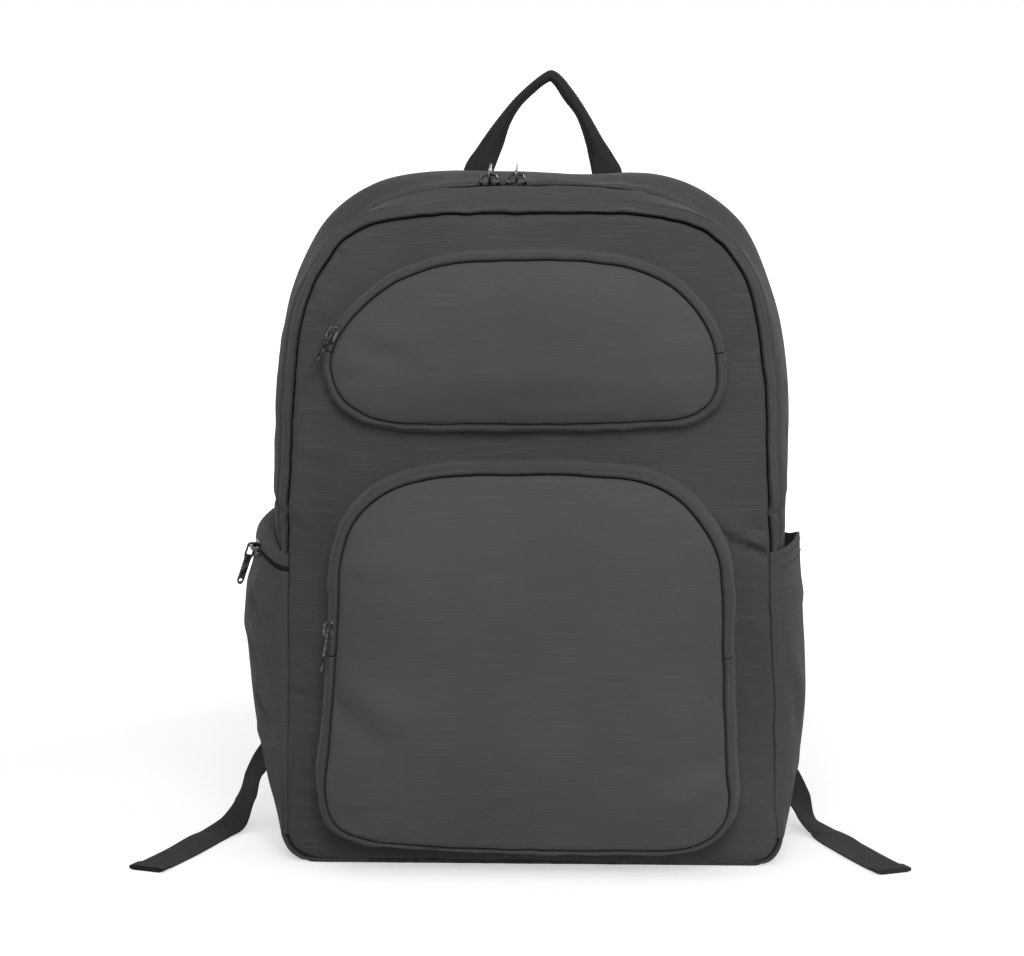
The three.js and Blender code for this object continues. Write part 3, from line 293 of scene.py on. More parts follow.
platedMetal = hardFinish("dark plated metal", {
    "grainScale": (900, 300, 900), "rubScale": 260.0, "rubSpan": (0.35, 0.7),
    "dark": (0.045, 0.045, 0.048, 1), "light": (0.42, 0.41, 0.40, 1), "smooth": 0.18, "rough": 0.36,
    "bump": 0.15, "bumpDepth": 0.0001, "metallic": 1.0,
})
bucklePlastic = hardFinish("moulded black plastic", {
    "grainScale": (700, 700, 700), "rubScale": 90.0, "rubSpan": (0.35, 0.7), "dark": tone(0.012),
    "light": tone(0.026), "smooth": 0.38, "rough": 0.6, "bump": 0.3, "bumpDepth": 0.0001, "metallic": 0.0,
})
print("finishes mixed")


# Curves, noise and meshes

def curveThrough(xs, ys, at):
    xs, ys = np.array(xs, float), np.array(ys, float)
    rise = np.append(ys[1:], ys[-1]) - np.insert(ys[:-1], 0, ys[0])
    slope = rise / (np.append(xs[1:], xs[-1]) - np.insert(xs[:-1], 0, xs[0]))
    at = np.clip(at, xs[0], xs[-1])
    high = np.clip(np.searchsorted(xs, at), 1, len(xs) - 1)
    low = high - 1
    span = xs[high] - xs[low]
    t = (at - xs[low]) / span
    start = (2 * t**3 - 3 * t**2 + 1) * ys[low] + (t**3 - 2 * t**2 + t) * slope[low] * span
    return start + (3 * t**2 - 2 * t**3) * ys[high] + (t**3 - t**2) * slope[high] * span


def eased(t):
    t = np.clip(t, 0, 1)
    return t * t * (3 - 2 * t)


# A smooth random line: bumps about one step apart, from -1 to 1
def wander(at, step, seed, loop=0.0):
    picks = np.random.RandomState(seed).uniform(-1, 1, 997)
    count = max(4, int(round(loop / step))) if loop else 997
    place = np.asarray(at, float) / (loop / count if loop else step)
    low = np.floor(place).astype(int)
    share = eased(place - low)
    return picks[low % count] * (1 - share) + picks[(low + 1) % count] * share


# The same over a surface
def rumple(u, v, step, seed):
    picks = np.random.RandomState(seed).uniform(-1, 1, (61, 67))
    u, v = np.asarray(u, float) / step, np.asarray(v, float) / step
    i, j = np.floor(u).astype(int), np.floor(v).astype(int)
    a, b = eased(u - i), eased(v - j)
    near = picks[i % 61, j % 67] * (1 - a) + picks[(i + 1) % 61, j % 67] * a
    far = picks[i % 61, (j + 1) % 67] * (1 - a) + picks[(i + 1) % 61, (j + 1) % 67] * a
    return near * (1 - b) + far * b


# Bumps of several sizes together, each given by its step and its height
def gathers(at, sizes, seed, loop=0.0):
    return sum(wander(at, step, seed + k, loop) * size for k, (step, size) in enumerate(sizes))


def rumples(u, v, sizes, seed):
    return sum(rumple(u, v, step, seed + k) * size for k, (step, size) in enumerate(sizes))


# Distance along a line at each of its points
def runAlong(line):
    return np.insert(np.cumsum(np.linalg.norm(np.diff(line, axis=0), axis=1)), 0, 0)


# The same round a closed outline, and its whole length
def runRound(outline):
    steps = np.linalg.norm(np.roll(outline, -1, 0) - outline, axis=1)
    return np.cumsum(steps) - steps, steps.sum()


def evenly(points, count, closed):
    line = np.vstack([points, points[:1]]) if closed else np.asarray(points, float)
    along = runAlong(line)
    at = np.linspace(0, along[-1], count + 1)[:-1] if closed else np.linspace(0, along[-1], count)
    return np.column_stack([np.interp(at, along, line[:, k]) for k in range(line.shape[1])])


# Points on a smooth curve through a path, where the steps between its points may differ
def curvePoint(path, at):
    path = np.asarray(path, float)
    last = len(path) - 1
    low = min(int(at), last - 1)
    part = at - low
    before = path[low - 1] if low > 0 else 2 * path[0] - path[1]
    here, there = path[low], path[low + 1]
    after = path[low + 2] if low + 2 <= last else 2 * path[last] - path[last - 1]
    gaps = [max(1e-4, np.linalg.norm(step) ** 0.5) for step in (here - before, there - here, after - there)]
    leave = (here - before) / gaps[0] - (there - before) / (gaps[0] + gaps[1]) + (there - here) / gaps[1]
    arrive = (there - here) / gaps[1] - (after - here) / (gaps[1] + gaps[2]) + (after - there) / gaps[2]
    leave, arrive = leave * gaps[1], arrive * gaps[1]
    bend = 2 * here - 2 * there + leave + arrive
    sway = -3 * here + 3 * there - 2 * leave - arrive
    return here + leave * part + sway * part**2 + bend * part**3


def curveAlong(path, at):
    step = 1e-3
    last = len(path) - 1
    way = curvePoint(path, min(last, at + step)) - curvePoint(path, max(0, at - step))
    return way / np.linalg.norm(way)


def closedCurve(points, count):
    ring = np.asarray(points, float)
    wrapped = np.vstack([ring[-2:], ring, ring[:3]])
    dense = [curvePoint(wrapped, 2 + k / 12) for k in range(len(ring) * 12)]
    return evenly(np.array(dense), count, True)


# Outlines run anticlockwise as seen from the front, from the middle of the foot
def outward(outline, closed=True):
    if closed:
        along = np.roll(outline, -1, 0) - np.roll(outline, 1, 0)
    else:
        along = np.gradient(outline, axis=0)
    along = along / np.linalg.norm(along, axis=1)[:, None]
    return np.column_stack([along[:, 1], -along[:, 0]])


def gridFaces(rows, columns, wrap=False):
    i = np.arange(rows - 1)[:, None]
    j = np.arange(columns if wrap else columns - 1)[None, :]
    beside = (j + 1) % columns
    corners = [i * columns + j, i * columns + beside, (i + 1) * columns + beside, (i + 1) * columns + j]
    return np.stack(np.broadcast_arrays(*corners), -1).reshape(-1, 4)


def paired(first, second):
    return np.stack(np.broadcast_arrays(first, second), -1)


# Makes a piece from points in millimetres. Faces are turned so that they look away from centre.
def makePiece(name, points, faces, finish, centre=(0, 0, 220), place=None, more=(), crease=50):
    points = np.asarray(points, float)
    corners = points[faces]
    normals = np.cross(corners[:, 2] - corners[:, 0], corners[:, 3] - corners[:, 1])
    every = [list(map(int, face)) for face in (*faces, *more)]
    if ((corners.mean(axis=1) - np.array(centre, float)) * normals).sum() < 0:
        every = [face[::-1] for face in every]
    mesh = bpy.data.meshes.new(name)
    mesh.from_pydata((points * 0.001).tolist(), [], every)
    mesh.polygons.foreach_set("use_smooth", [True] * len(mesh.polygons))
    if place is not None:
        flat = np.zeros((len(points), 3), np.float32)
        flat[:, :2] = np.asarray(place, float)[:, :2] * 0.001
        mesh.attributes.new("clothPlace", "FLOAT_VECTOR", "POINT").data.foreach_set("vector", flat.ravel())
    mesh.materials.append(finish)
    mesh.validate()
    mesh.update()
    if crease:
        mesh.set_sharp_from_angle(angle=math.radians(crease))
    return newObject(name, mesh)


# A piece from a grid of points and the place of each on the cloth
def gridPiece(name, grid, place, finish, centre=(0, 0, 220), wrap=False):
    grid, place = np.asarray(grid, float), np.asarray(place, float)
    faces = gridFaces(*grid.shape[:2], wrap)
    return makePiece(name, grid.reshape(-1, 3), faces, finish, centre, place.reshape(-1, 2))


def settle(piece, nodes=(), wall=0.0, body="bag"):
    if wall:
        cloth = piece.modifiers.new("cloth wall", "SOLIDIFY")
        cloth.thickness = wall * 0.001
        cloth.offset = -1
    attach(piece, body)
    if nodes:
        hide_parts(*nodes)
    return piece


# A closed solid from rings of points: each ring goes once round
def ringSolid(name, rings, place, finish, centre, crease=60):
    rings = np.asarray(rings, float)
    count, around = rings.shape[:2]
    caps = [list(range(around)), list(range((count - 1) * around, count * around))[::-1]]
    piece = makePiece(name, rings.reshape(-1, 3), gridFaces(count, around, True), finish, centre,
                      place.reshape(-1, 2), caps, crease)
    work = bmesh.new()
    work.from_mesh(piece.data)
    bmesh.ops.recalc_face_normals(work, faces=work.faces)
    work.to_mesh(piece.data)
    work.free()
    return piece


# Stitches: short threads laid along paths, each sunk a little at its ends
stitches = {
    "thick": 0.5, "around": 6, "sink": 0.5, "startShare": 0.08, "endShare": 0.45,
    # rings of a thread: place along it, size and lift
    "rings": [(0.16, 0.8, 0.35), (0.5, 1.0, 0.6), (0.84, 0.8, 0.35)],
}


def stitchRun(name, paths, pitch):
    around, thick = stitches["around"], stitches["thick"]
    turns = [(math.cos(angle), math.sin(angle)) for angle in np.arange(around) * 2 * math.pi / around]
    pairs = [(j, (j + 1) % around) for j in range(around)]
    points, faces, fans, place = [], [], [], []
    for path, normals in paths:
        count = max(1, int(runAlong(path)[-1] / pitch))
        line = evenly(np.hstack([path, normals]), count * 2 + 1, False)
        for k in range(count):
            start, end, beyond = line[2 * k:2 * k + 3, :3]
            start, end = (start + (end - start) * stitches["startShare"],
                          end + (beyond - end) * stitches["endShare"])
            up = line[2 * k + 1, 3:] / np.linalg.norm(line[2 * k + 1, 3:])
            along = (end - start) / np.linalg.norm(end - start)
            across = np.cross(up, along)
            first = len(points)
            points.append(start - up * thick * stitches["sink"])
            for share, size, lift in stitches["rings"]:
                middle = start + (end - start) * share + up * thick * lift
                points += [middle + (across * level + up * rise) * thick * size / 2 for level, rise in turns]
            points.append(end - up * thick * stitches["sink"])
            for low in (first + 1, first + 1 + around):
                faces += [[low + j, low + n, low + around + n, low + around + j] for j, n in pairs]
            for j, n in pairs:
                fans.append([first, first + 1 + n, first + 1 + j])
                fans.append([first + 1 + 3 * around, first + 1 + 2 * around + j, first + 1 + 2 * around + n])
            place += [(k * 3.1, j * 0.4) for j in range(3 * around + 2)]
    points = np.array(points)
    thread = makePiece(name, points, np.array(faces), threadCloth, points.mean(axis=0), place, fans, 0)
    settle(thread)


# The body's sections

body = {
    "height": 440.0, "panelTop": 417.0, "crestRise": 23.0, "frontSeam": -55.0, "backSeam": 55.0,
    "narrowHalf": 150.5, "wideHalf": 165.5, "flare": 5.0, "tuck": 4.0, "shoulderDrop": 160.0,
    "corner": 21.0, "baseLift": 2.0, "topDepthShare": 0.87, "zipEndHeight": 226.0, "loop": 900,
    "rowDepth": [0.0, 0.1, 0.28, 0.5, 0.65, 0.85, 1.0],
    "rowSwell": [0.0, 0.32, 0.7, 0.96, 1.0, 0.85, 0.45],
    "rowRise": [0.0, 0.27, 0.64, 0.93, 1.0, 0.9, 0.5],
    "rowLift": [1.0, 0.25, 0.0, 0.0, 0.0, 0.0, 0.0],
    "rowAcross": [5.0, 5.0, 4.9, 4.8, 4.7, 4.8, 5.0],
    "rowUp": [2.5, 2.4, 2.1, 1.95, 1.9, 2.0, 2.2],
}
bodyDepth = body["backSeam"] - body["frontSeam"]


def tapered(x, y, z):
    x, y, z = np.broadcast_arrays(np.asarray(x, float), y, z)
    scale = 1 - (1 - body["topDepthShare"]) * np.clip(z / body["height"], 0, 1)
    back = body["backSeam"]
    return np.stack([x, np.where(y < back, back - (back - y) * scale, y), z], -1)


# A line set off along its normals, at a depth
def beside(line, normals, offset, depth):
    return tapered(line[:, 0] + normals[:, 0] * offset, depth, line[:, 1] + normals[:, 1] * offset)


# One half of a section: a round corner at the foot, then an arch
def halfOutline(half, foot, top, shoulder, corner, flare, acrossPower, upPower):
    turn = np.linspace(0, math.pi / 2, 14)
    x = [0, *(half - corner * (1 - np.sin(turn)))]
    z = [foot, *(foot + corner * (1 - np.cos(turn)))]
    turn = np.linspace(0, math.pi / 2, 90)
    x = np.array([*x, *(half * np.cos(turn) ** (2 / acrossPower))])
    z = np.array([*z, *(shoulder + (top - shoulder) * np.sin(turn) ** (2 / upPower))])
    below = np.clip((shoulder - z) / (shoulder - foot), 0, None)
    return np.column_stack([x * (1 + flare / half * below), z])


def sectionLoop(depth):
    share = np.clip((depth - body["frontSeam"]) / bodyDepth, 0, 1)
    swell, rise, lift, acrossPower, upPower = (
        float(curveThrough(body["rowDepth"], body[key], share))
        for key in ("rowSwell", "rowRise", "rowLift", "rowAcross", "rowUp")
    )
    top = body["panelTop"] + body["crestRise"] * rise
    half = body["narrowHalf"] + (body["wideHalf"] - body["narrowHalf"]) * swell
    flare = body["flare"] + (-body["tuck"] - body["flare"]) * swell
    right = halfOutline(half, body["baseLift"] * max(0, lift), top, top - body["shoulderDrop"],
                        body["corner"], flare, acrossPower, upPower)
    left = (right * [-1, 1])[::-1][1:-1]
    return evenly(np.vstack([right, left]), body["loop"], True)


frontPanel = {
    "seam": [
        (1.0, 1.2), (60, 0.8), (110, 0.6), (140.3, 1.6), (154.2, 7.1), (159.6, 17.5), (157.6, 43),
        (156.6, 108), (153.6, 172), (151.4, 235.5), (148.9, 298.6), (144.8, 336.3), (139.6, 361.4),
        (135.1, 373.8), (127.5, 386.3), (116.1, 398.8), (100.5, 407.6), (56.7, 414.2), (1.0, 414.6),
        (-56, 413.9), (-81.1, 411.2), (-99.9, 407), (-115.7, 398.2), (-125.2, 386.3), (-134.2, 373.1),
        (-139.2, 360.5), (-143.1, 347.9), (-145.7, 335.3), (-148.3, 310.1), (-149.8, 284.7),
        (-152.6, 233.9), (-153.6, 170), (-154.0, 105.6), (-154.8, 30), (-154.2, 16.1), (-150.4, 8.6),
        (-144.4, 4.8), (-136.7, 2.8), (-80, 1.9),
    ],
    "middle": (0.0, 208.5), "half": 155.5, "bulge": 9.0, "waver": 0.75, "waverSeed": 11, "wall": 1.4,
    "seed": 20,
    "gathers": [(8.5, 0.55), (21, 0.6)], "gatherReach": 7, "gatherFrom": 0.7, "foldReach": 4,
    "rumples": [(46, 0.7), (19, 0.22)],
    "dents": [
        (0.86, 0.5, 0.12, 0.05, -0.35), (-0.9, 0.52, 0.1, 0.08, -0.25), (0.2, 0.97, 0.35, 0.04, -0.25),
    ],
    "edge": [
        (0.9, 7.0), (0.7, 5.4), (0.6, 3.9), (0.8, 2.7), (1.3, 1.7), (2.0, 1.0), (3.0, 0.5), (4.4, 0.18),
        (6.2, 0.05), (8.4, 0), (11, 0), (14, 0),
    ],
    "inner": [
        0.965, 0.93, 0.89, 0.85, 0.8, 0.75, 0.7, 0.65, 0.6, 0.54, 0.48, 0.42, 0.36, 0.3, 0.23, 0.16, 0.08,
    ],
    # folds from one place to another: width, push out, and how much of it is a hollow beside the ridge
    "folds": [
        (98, 236, 130, 214, 6.5, 2.6, 1.2), (122, 217, 156, 204, 4.0, 2.6, 1.2),
        (-150, 268, -118, 262, 6.0, 0.6, 0.6), (-152, 118, -138, 112, 3.5, 0.8, 0.8),
        (-140, 60, -134, 92, 4.0, 0.9, 0.8), (146, 96, 137, 120, 4.5, 0.8, 0.8),
        (-126, 401, -117, 391, 2.4, 1.1, 1.2), (-144, 358, -136, 354, 2.4, 1.0, 1.2),
        (123, 402, 114, 393, 2.4, 0.9, 1.2), (-145, 384, -120, 340, 5.0, 0.7, 0.8),
        (148, 330, 138, 322, 3.0, 0.9, 1.0), (138, 176, 146, 150, 5.0, 0.6, 0.6),
        (-132, 300, -126, 276, 5.0, 0.5, 0.6),
        (120, 300, 136, 292, 5.0, 0.5, 0.6), (-148, 228, -136, 214, 4.0, 0.7, 0.8),
    ],
}


def wavered(outline, size, seed):
    at, loop = runRound(outline)
    return outline + outward(outline) * (gathers(at, [(17, 0.6), (7.5, 0.4)], seed, loop) * size)[:, None]


seamCurve = closedCurve(frontPanel["seam"], body["loop"])
seamLine = wavered(seamCurve, frontPanel["waver"], frontPanel["waverSeed"])
seamChange = seamLine - sectionLoop(body["frontSeam"])
loops = {}


# The body's outline at a depth: the front one follows the panel's own seam
def bodyOutline(depth):
    key = round(float(depth), 3)
    if key not in loops:
        share = (depth - body["frontSeam"]) / bodyDepth
        loops[key] = sectionLoop(depth) + seamChange * (1 - eased(share / 0.5))
    return loops[key]


# How far a point lies from the middle of an outline, 0, towards the outline, 1
def shareOf(outline, middle, x, z):
    angle = np.arctan2(outline[:, 1] - middle[1], outline[:, 0] - middle[0])
    order = np.argsort(angle)
    reach = np.hypot(outline[:, 0] - middle[0], outline[:, 1] - middle[1])[order]
    angle = angle[order]
    angle = np.concatenate([angle - 2 * math.pi, angle, angle + 2 * math.pi])
    seen = np.arctan2(z - middle[1], x - middle[0])
    return np.hypot(x - middle[0], z - middle[1]) / np.interp(seen, angle, np.tile(reach, 3))


def dented(dents, half, foot, height, x, z):
    total = np.zeros_like(x)
    for across, up, wide, high, push in dents:
        besides, above = (x / half - across) / wide, ((z - foot) / height - up) / high
        total += push * np.exp(-(besides**2) - above**2)
    return total


def domed(share):
    share = np.clip(share, 0, 1)
    return (1 - share**3) * (1 - 0.25 * (1 - share) ** 2)


# Push of the folds at a place: a ridge along a line with a hollow beside it, fading at its ends
def folded(folds, u, v):
    total = np.zeros_like(u)
    for startU, startV, endU, endV, width, push, hollow in folds:
        wayU, wayV = endU - startU, endV - startV
        length = math.hypot(wayU, wayV)
        along = ((u - startU) * wayU + (v - startV) * wayV) / length**2
        away = ((v - startV) * wayU - (u - startU) * wayV) / length / width
        fade = eased((along + 0.15) / 0.35) * eased((1.15 - along) / 0.35)
        total += push * fade * (np.exp(-(away**2)) - hollow * np.exp(-((away + 1.3) ** 2) * 1.6))
    return total


def frontFace(x, z):
    share = shareOf(seamLine, frontPanel["middle"], x, z)
    dent = dented(frontPanel["dents"], frontPanel["half"], 0, body["panelTop"], x, z)
    dent = dent * (1 - np.clip(share, 0, 1) ** 8)
    return body["frontSeam"] - frontPanel["bulge"] * (domed(share) + dent)


# Points of a panel: fine rows that roll in at its edge, then every third point on rings to the middle
def ringPanel(outline, look):
    edge, middle = look["edge"], np.array(look["middle"], float)
    normals = outward(outline)
    rows = [outline - normals * inset for inset, _ in edge]
    rings = [middle + (rows[-1][::3] - middle) * share for share in look["inner"]]
    flat = np.vstack(rows + rings + [middle[None, :]])
    count, coarse = len(outline), len(outline) // 3
    inside = len(rings) * coarse + 1
    drops = np.concatenate([np.full(count, drop) for _, drop in edge] + [np.zeros(inside)])
    insets = np.concatenate([np.full(count, inset) for inset, _ in edge] + [np.full(inside, 99.0)])
    along, loop = runRound(outline)
    at = np.concatenate([np.tile(along, len(edge)), np.tile(along[::3], len(rings)), [0]])
    base, first = (len(edge) - 1) * count, len(edge) * count
    last = first + (len(rings) - 1) * coarse
    more = []
    for j in range(coarse):
        n = (j + 1) % coarse
        fine = [base + (3 * j + k) % count for k in range(4)]
        more.append([*fine, first + n, first + j])
        more.append([last + j, last + n, len(flat) - 1])
    faces = np.vstack([gridFaces(len(edge), count, True), gridFaces(len(rings), coarse, True) + first])
    return flat, drops, insets, at, loop, faces, more


# A panel gathered beside its seam, with its folds and broad rumples
def panelPiece(name, node, finish, outline, look, faceAt):
    flat, drops, insets, at, loop, faces, more = ringPanel(outline, look)
    x, z = flat[:, 0], flat[:, 1]
    y = faceAt(x, z) + drops
    gather = gathers(at, look["gathers"], look["seed"] + 1, loop) * np.exp(-insets / look["gatherReach"])
    y -= gather * (insets > look["gatherFrom"])
    y -= folded(look["folds"], x, z) * eased(insets / look["foldReach"])
    y -= rumples(x + 500, z, look["rumples"], look["seed"] + 3) * eased(insets / 10)
    piece = makePiece(name, tapered(x, y, z), faces, finish, place=flat, more=more)
    settle(piece, [node], look["wall"])


panelPiece("front_panel_cloth", "front_panel", shellCloth, seamLine, frontPanel, frontFace)
print("front panel made")


# The part of an outline above a height, or below it, at even steps
def cutLoop(outline, height, above, count):
    share = np.linspace(0, 1, len(outline) + 1)
    line = np.vstack([outline, outline[:1]])
    top = int(np.argmax(line[:, 1]))
    right = float(np.interp(height, line[:top, 1], share[:top]))
    left = float(np.interp(-height, -line[top:, 1], share[top:]))
    at = np.linspace(right, left, count) if above else np.linspace(left - 1, right, count)
    return np.column_stack([np.interp(at % 1, share, line[:, k]) for k in range(2)])


bands = {
    "wall": 1.3, "columns": 520, "baseColumns": 400, "floorClear": 1.4, "footRise": 7.0,
    "gathers": [(9, 0.55), (27, 0.5)], "gatherReach": 10, "rumples": [(34, 0.6)], "endTuck": 1.7,
    "endReach": 2.6,
    # rows of a rolled edge: depth, distance out, and the share of the swell and of the puckers there
    "seamRoll": [
        (-46.0, 0.2, 0, 0), (-49.6, 0.3, 0, 0.1), (-51.4, 0.6, 0, 0.4), (-52.6, 1.2, 0, 0.8),
        (-52.9, 1.9, 0, 1), (-52.4, 2.5, 0.3, 1), (-51.0, 2.4, 1, 1), (-49.0, 1.6, 1, 1),
    ],
    "zipFront": [
        (-27.6, 0.5, 1, 1), (-26.0, 0.1, 1, 1), (-25.0, -0.7, 1, 0.8), (-24.7, -1.8, 1, 0.3),
        (-25.8, -2.8, 1, 0),
    ],
    "zipBack": [
        (-18.2, -3.0, 1, 0), (-19.4, -1.8, 1, 0.3), (-19.8, -0.3, 1, 0.8), (-19.2, 0.8, 1, 1),
        (-17.8, 1.3, 1, 1),
    ],
    "backRoll": [
        (44.6, 0.9, 1, 1), (46.4, 0.2, 1, 0.6), (47.0, -0.8, 0, 0.3), (46.4, -2.0, 0, 0), (44.0, -3.0, 0, 0),
    ],
    # a dark strip behind the front seam, painted shade that darkens the groove and keeps light from leaking
    # through it: distance out, depth
    "seamShadeStrip": [(-7.0, -46.2), (-3.0, -46.6), (0.0, -46.8), (1.6, -46.6)],
    "pinchPlace": [0, 30, 55, 80, 100, 118, 134, 148, 166],
    "pinchDepth": [0, 0, 1.6, 4.4, 7.8, 10.0, 7.5, 3.0, 0],
}


# Rolled rows at both ends of a band, with plain rows between that carry the rolls on
def bandRows(start, finish, count):
    first, last = start[-1], finish[0]
    middle = []
    for depth in np.linspace(first[0], last[0], count + 2)[1:-1]:
        offset = first[1] * math.exp(-(depth - first[0]) / 6) + last[1] * math.exp(-(last[0] - depth) / 6)
        middle.append((depth, offset, 1, 1))
    return [*start, *middle, *finish]


# The band's lower seam rises from the front seam to the zip
def bandFoot(depth, above):
    rise = bands["footRise"] * float(eased((depth + 53) / 30))
    return body["zipEndHeight"] + rise + (0.2 if above else 0.6)


def bandGrid(rows, above, columns, liftAt, seed):
    grid, place = [], []
    first, last = rows[0][0], rows[-1][0]
    for depth, offset, swell, pucker in rows:
        inside = depth < -52 or depth < -44 and offset < 1
        line = cutLoop(bodyOutline(-54.0 if inside else depth), bandFoot(depth, above), above, columns)
        normals = outward(line, False)
        run = runAlong(line)
        near = min(abs(depth - first), abs(last - depth))
        lift = offset + np.asarray(liftAt(depth, line)) * swell
        lift = lift + gathers(run, bands["gathers"], seed) * math.exp(-near / bands["gatherReach"]) * pucker
        broad = rumples(run + 300, np.full_like(run, depth + 200), bands["rumples"], seed + 2)
        lift = lift + broad * pucker * eased(near / 12)
        for away in (run, run[-1] - run):
            lift = lift - bands["endTuck"] * np.exp(-((away / bands["endReach"]) ** 2))
        line = line + normals * np.asarray(lift).reshape(-1, 1)
        grid.append(tapered(line[:, 0], depth, np.maximum(line[:, 1], bands["floorClear"])))
        place.append(np.column_stack([run, np.full(columns, depth)]))
    return grid, place


def bandPiece(name, rows, above, liftAt, seed, node, finish, columns):
    piece = gridPiece(name, *bandGrid(rows, above, columns, liftAt, seed), finish)
    settle(piece, [node], bands["wall"])


# The zip is drawn in at the shoulders, where the front band folds up beside it
def shoulderPinch(line):
    drawn = curveThrough(bands["pinchPlace"], bands["pinchDepth"], np.abs(line[:, 0]))
    return -drawn * eased((line[:, 1] - 330) / 50)


# The front band's swell between its seam and the zip
def frontRise(depth):
    return math.sin(np.clip((depth + 53) / 31, 0, 1) ** 1.2 * math.pi) ** 0.7


def frontLift(depth, line):
    side = eased((np.abs(line[:, 0]) - 60) / 75)
    return frontRise(depth) * (1.6 + 2.0 * side) + shoulderPinch(line) * float(eased((depth + 53) / 31))


def backLift(depth, line):
    top = eased((line[:, 1] - 400) / 25)
    dip = 1.3 + 2.6 * np.exp(-(((line[:, 0] - 24) / 30) ** 2))
    sag = dip * top * float(eased((depth + 24) / 18))
    rise = 0.5 * math.sin(np.clip((depth + 20) / 67, 0, 1) * math.pi)
    return rise - sag + shoulderPinch(line) * (1 - float(eased((depth + 21) / 34)))


def baseLift(depth, line):
    rise = math.sin(np.clip((depth + 53) / 99, 0, 1) * math.pi)
    side = eased((line[:, 1] - 20) / 60)
    front = frontRise(depth) * eased((line[:, 1] - 190) / 30)
    covered = eased((line[:, 1] - 22) / 8) * eased((198 - line[:, 1]) / 10)
    return rise * 0.4 * side + 3.6 * front - 2.2 * covered


def makeBands():
    count = bands["columns"]
    front = bandRows(bands["seamRoll"], bands["zipFront"], 12)
    bandPiece("front_band_cloth", front, True, frontLift, 31, "gusset_front_band", bandCloth, count)
    back = bandRows(bands["zipBack"], bands["backRoll"], 20)
    bandPiece("back_band_cloth", back, True, backLift, 41, "gusset_back_band", bandCloth, count)
    base = bandRows(bands["seamRoll"], bands["backRoll"], 26)
    bandPiece("base_band_cloth", base, False, baseLift, 51, "base_gusset", shellCloth, bands["baseColumns"])


# The dark strip is painted shade: it fills the front seam's groove with the dark of its shadow.
def makeSeamShadeStrip():
    normals = outward(seamLine)
    run = np.linspace(0, 1500, len(seamLine))
    grid, place = [], []
    for offset, depth in bands["seamShadeStrip"]:
        spot = seamLine + normals * offset
        grid.append(tapered(spot[:, 0], depth, np.maximum(spot[:, 1], 1.2)))
        place.append(np.column_stack([run, np.full(len(run), offset)]))
    tape = gridPiece("front_seam_shade_strip", grid, place, tapeAndShadeCloth, (0, 400, 220), True)
    settle(tape, wall=0.7)


makeBands()
makeSeamShadeStrip()
print("bands made")


# Zips: a woven tape with a coil along its middle

zips = {
    "coilPitch": 1.5, "coilSteps": 4, "coilSwell": 0.22, "coilFlat": 0.8, "around": 8, "tapeWall": 0.7,
    "columns": 420,
    "mainDepth": -22.0, "mainCoil": 1.15, "mainSink": 1.1,
    "mainRows": [
        (-25.6, -2.2, 1, 0), (-24.4, -2.0, 1, 0), (-22.0, -1.9, 1, 0), (-20.0, -2.0, 1, 0), (-18.6, -2.2, 1, 0),
    ],
}


# A coil along a path: a tube whose radius swells at each turn
def coilPiece(name, path, normals, radius):
    around = zips["around"]
    length = np.linalg.norm(np.diff(path, axis=0), axis=1).sum()
    count = int(length / zips["coilPitch"] * zips["coilSteps"])
    line = evenly(np.hstack([path, normals]), count, False)
    middle, up = line[:, :3], line[:, 3:] / np.linalg.norm(line[:, 3:], axis=1)[:, None]
    along = np.gradient(middle, axis=0)
    along /= np.linalg.norm(along, axis=1)[:, None]
    across = np.cross(up, along)
    turn = np.arange(count) / zips["coilSteps"] * 2 * math.pi
    rings = []
    for k in range(around):
        angle = 2 * math.pi * k / around
        size = radius * (1 + zips["coilSwell"] * np.sin(turn + angle))[:, None]
        rings.append(middle + (across * math.cos(angle) + up * math.sin(angle) * zips["coilFlat"]) * size)
    place = paired(np.linspace(0, length, count)[:, None], np.arange(around)[None, :] * 0.8)
    settle(ringSolid(name, np.stack(rings, axis=1), place, tapeAndShadeCloth, (0, 0, -9e5)))


def makeMainZip():
    columns, depth = zips["columns"], zips["mainDepth"]
    grid, place = bandGrid(zips["mainRows"], True, columns, lambda depth, line: shoulderPinch(line), 61)
    settle(gridPiece("main_zip_tape", grid, place, tapeAndShadeCloth), ["main_zip"], zips["tapeWall"])
    line = cutLoop(bodyOutline(depth), body["zipEndHeight"] + 9, True, columns)
    normals = outward(line, False)
    line = line + normals * shoulderPinch(line)[:, None]
    lifts = np.column_stack([normals[:, 0], 0 * normals[:, 0], normals[:, 1]])
    coilPiece("main_zip_coil", beside(line, normals, -zips["mainSink"], depth), lifts, zips["mainCoil"])


makeMainZip()
print("main zip made")


# Front pockets: a domed face, a groove with the zip in it, and a rolled gusset out to the panel

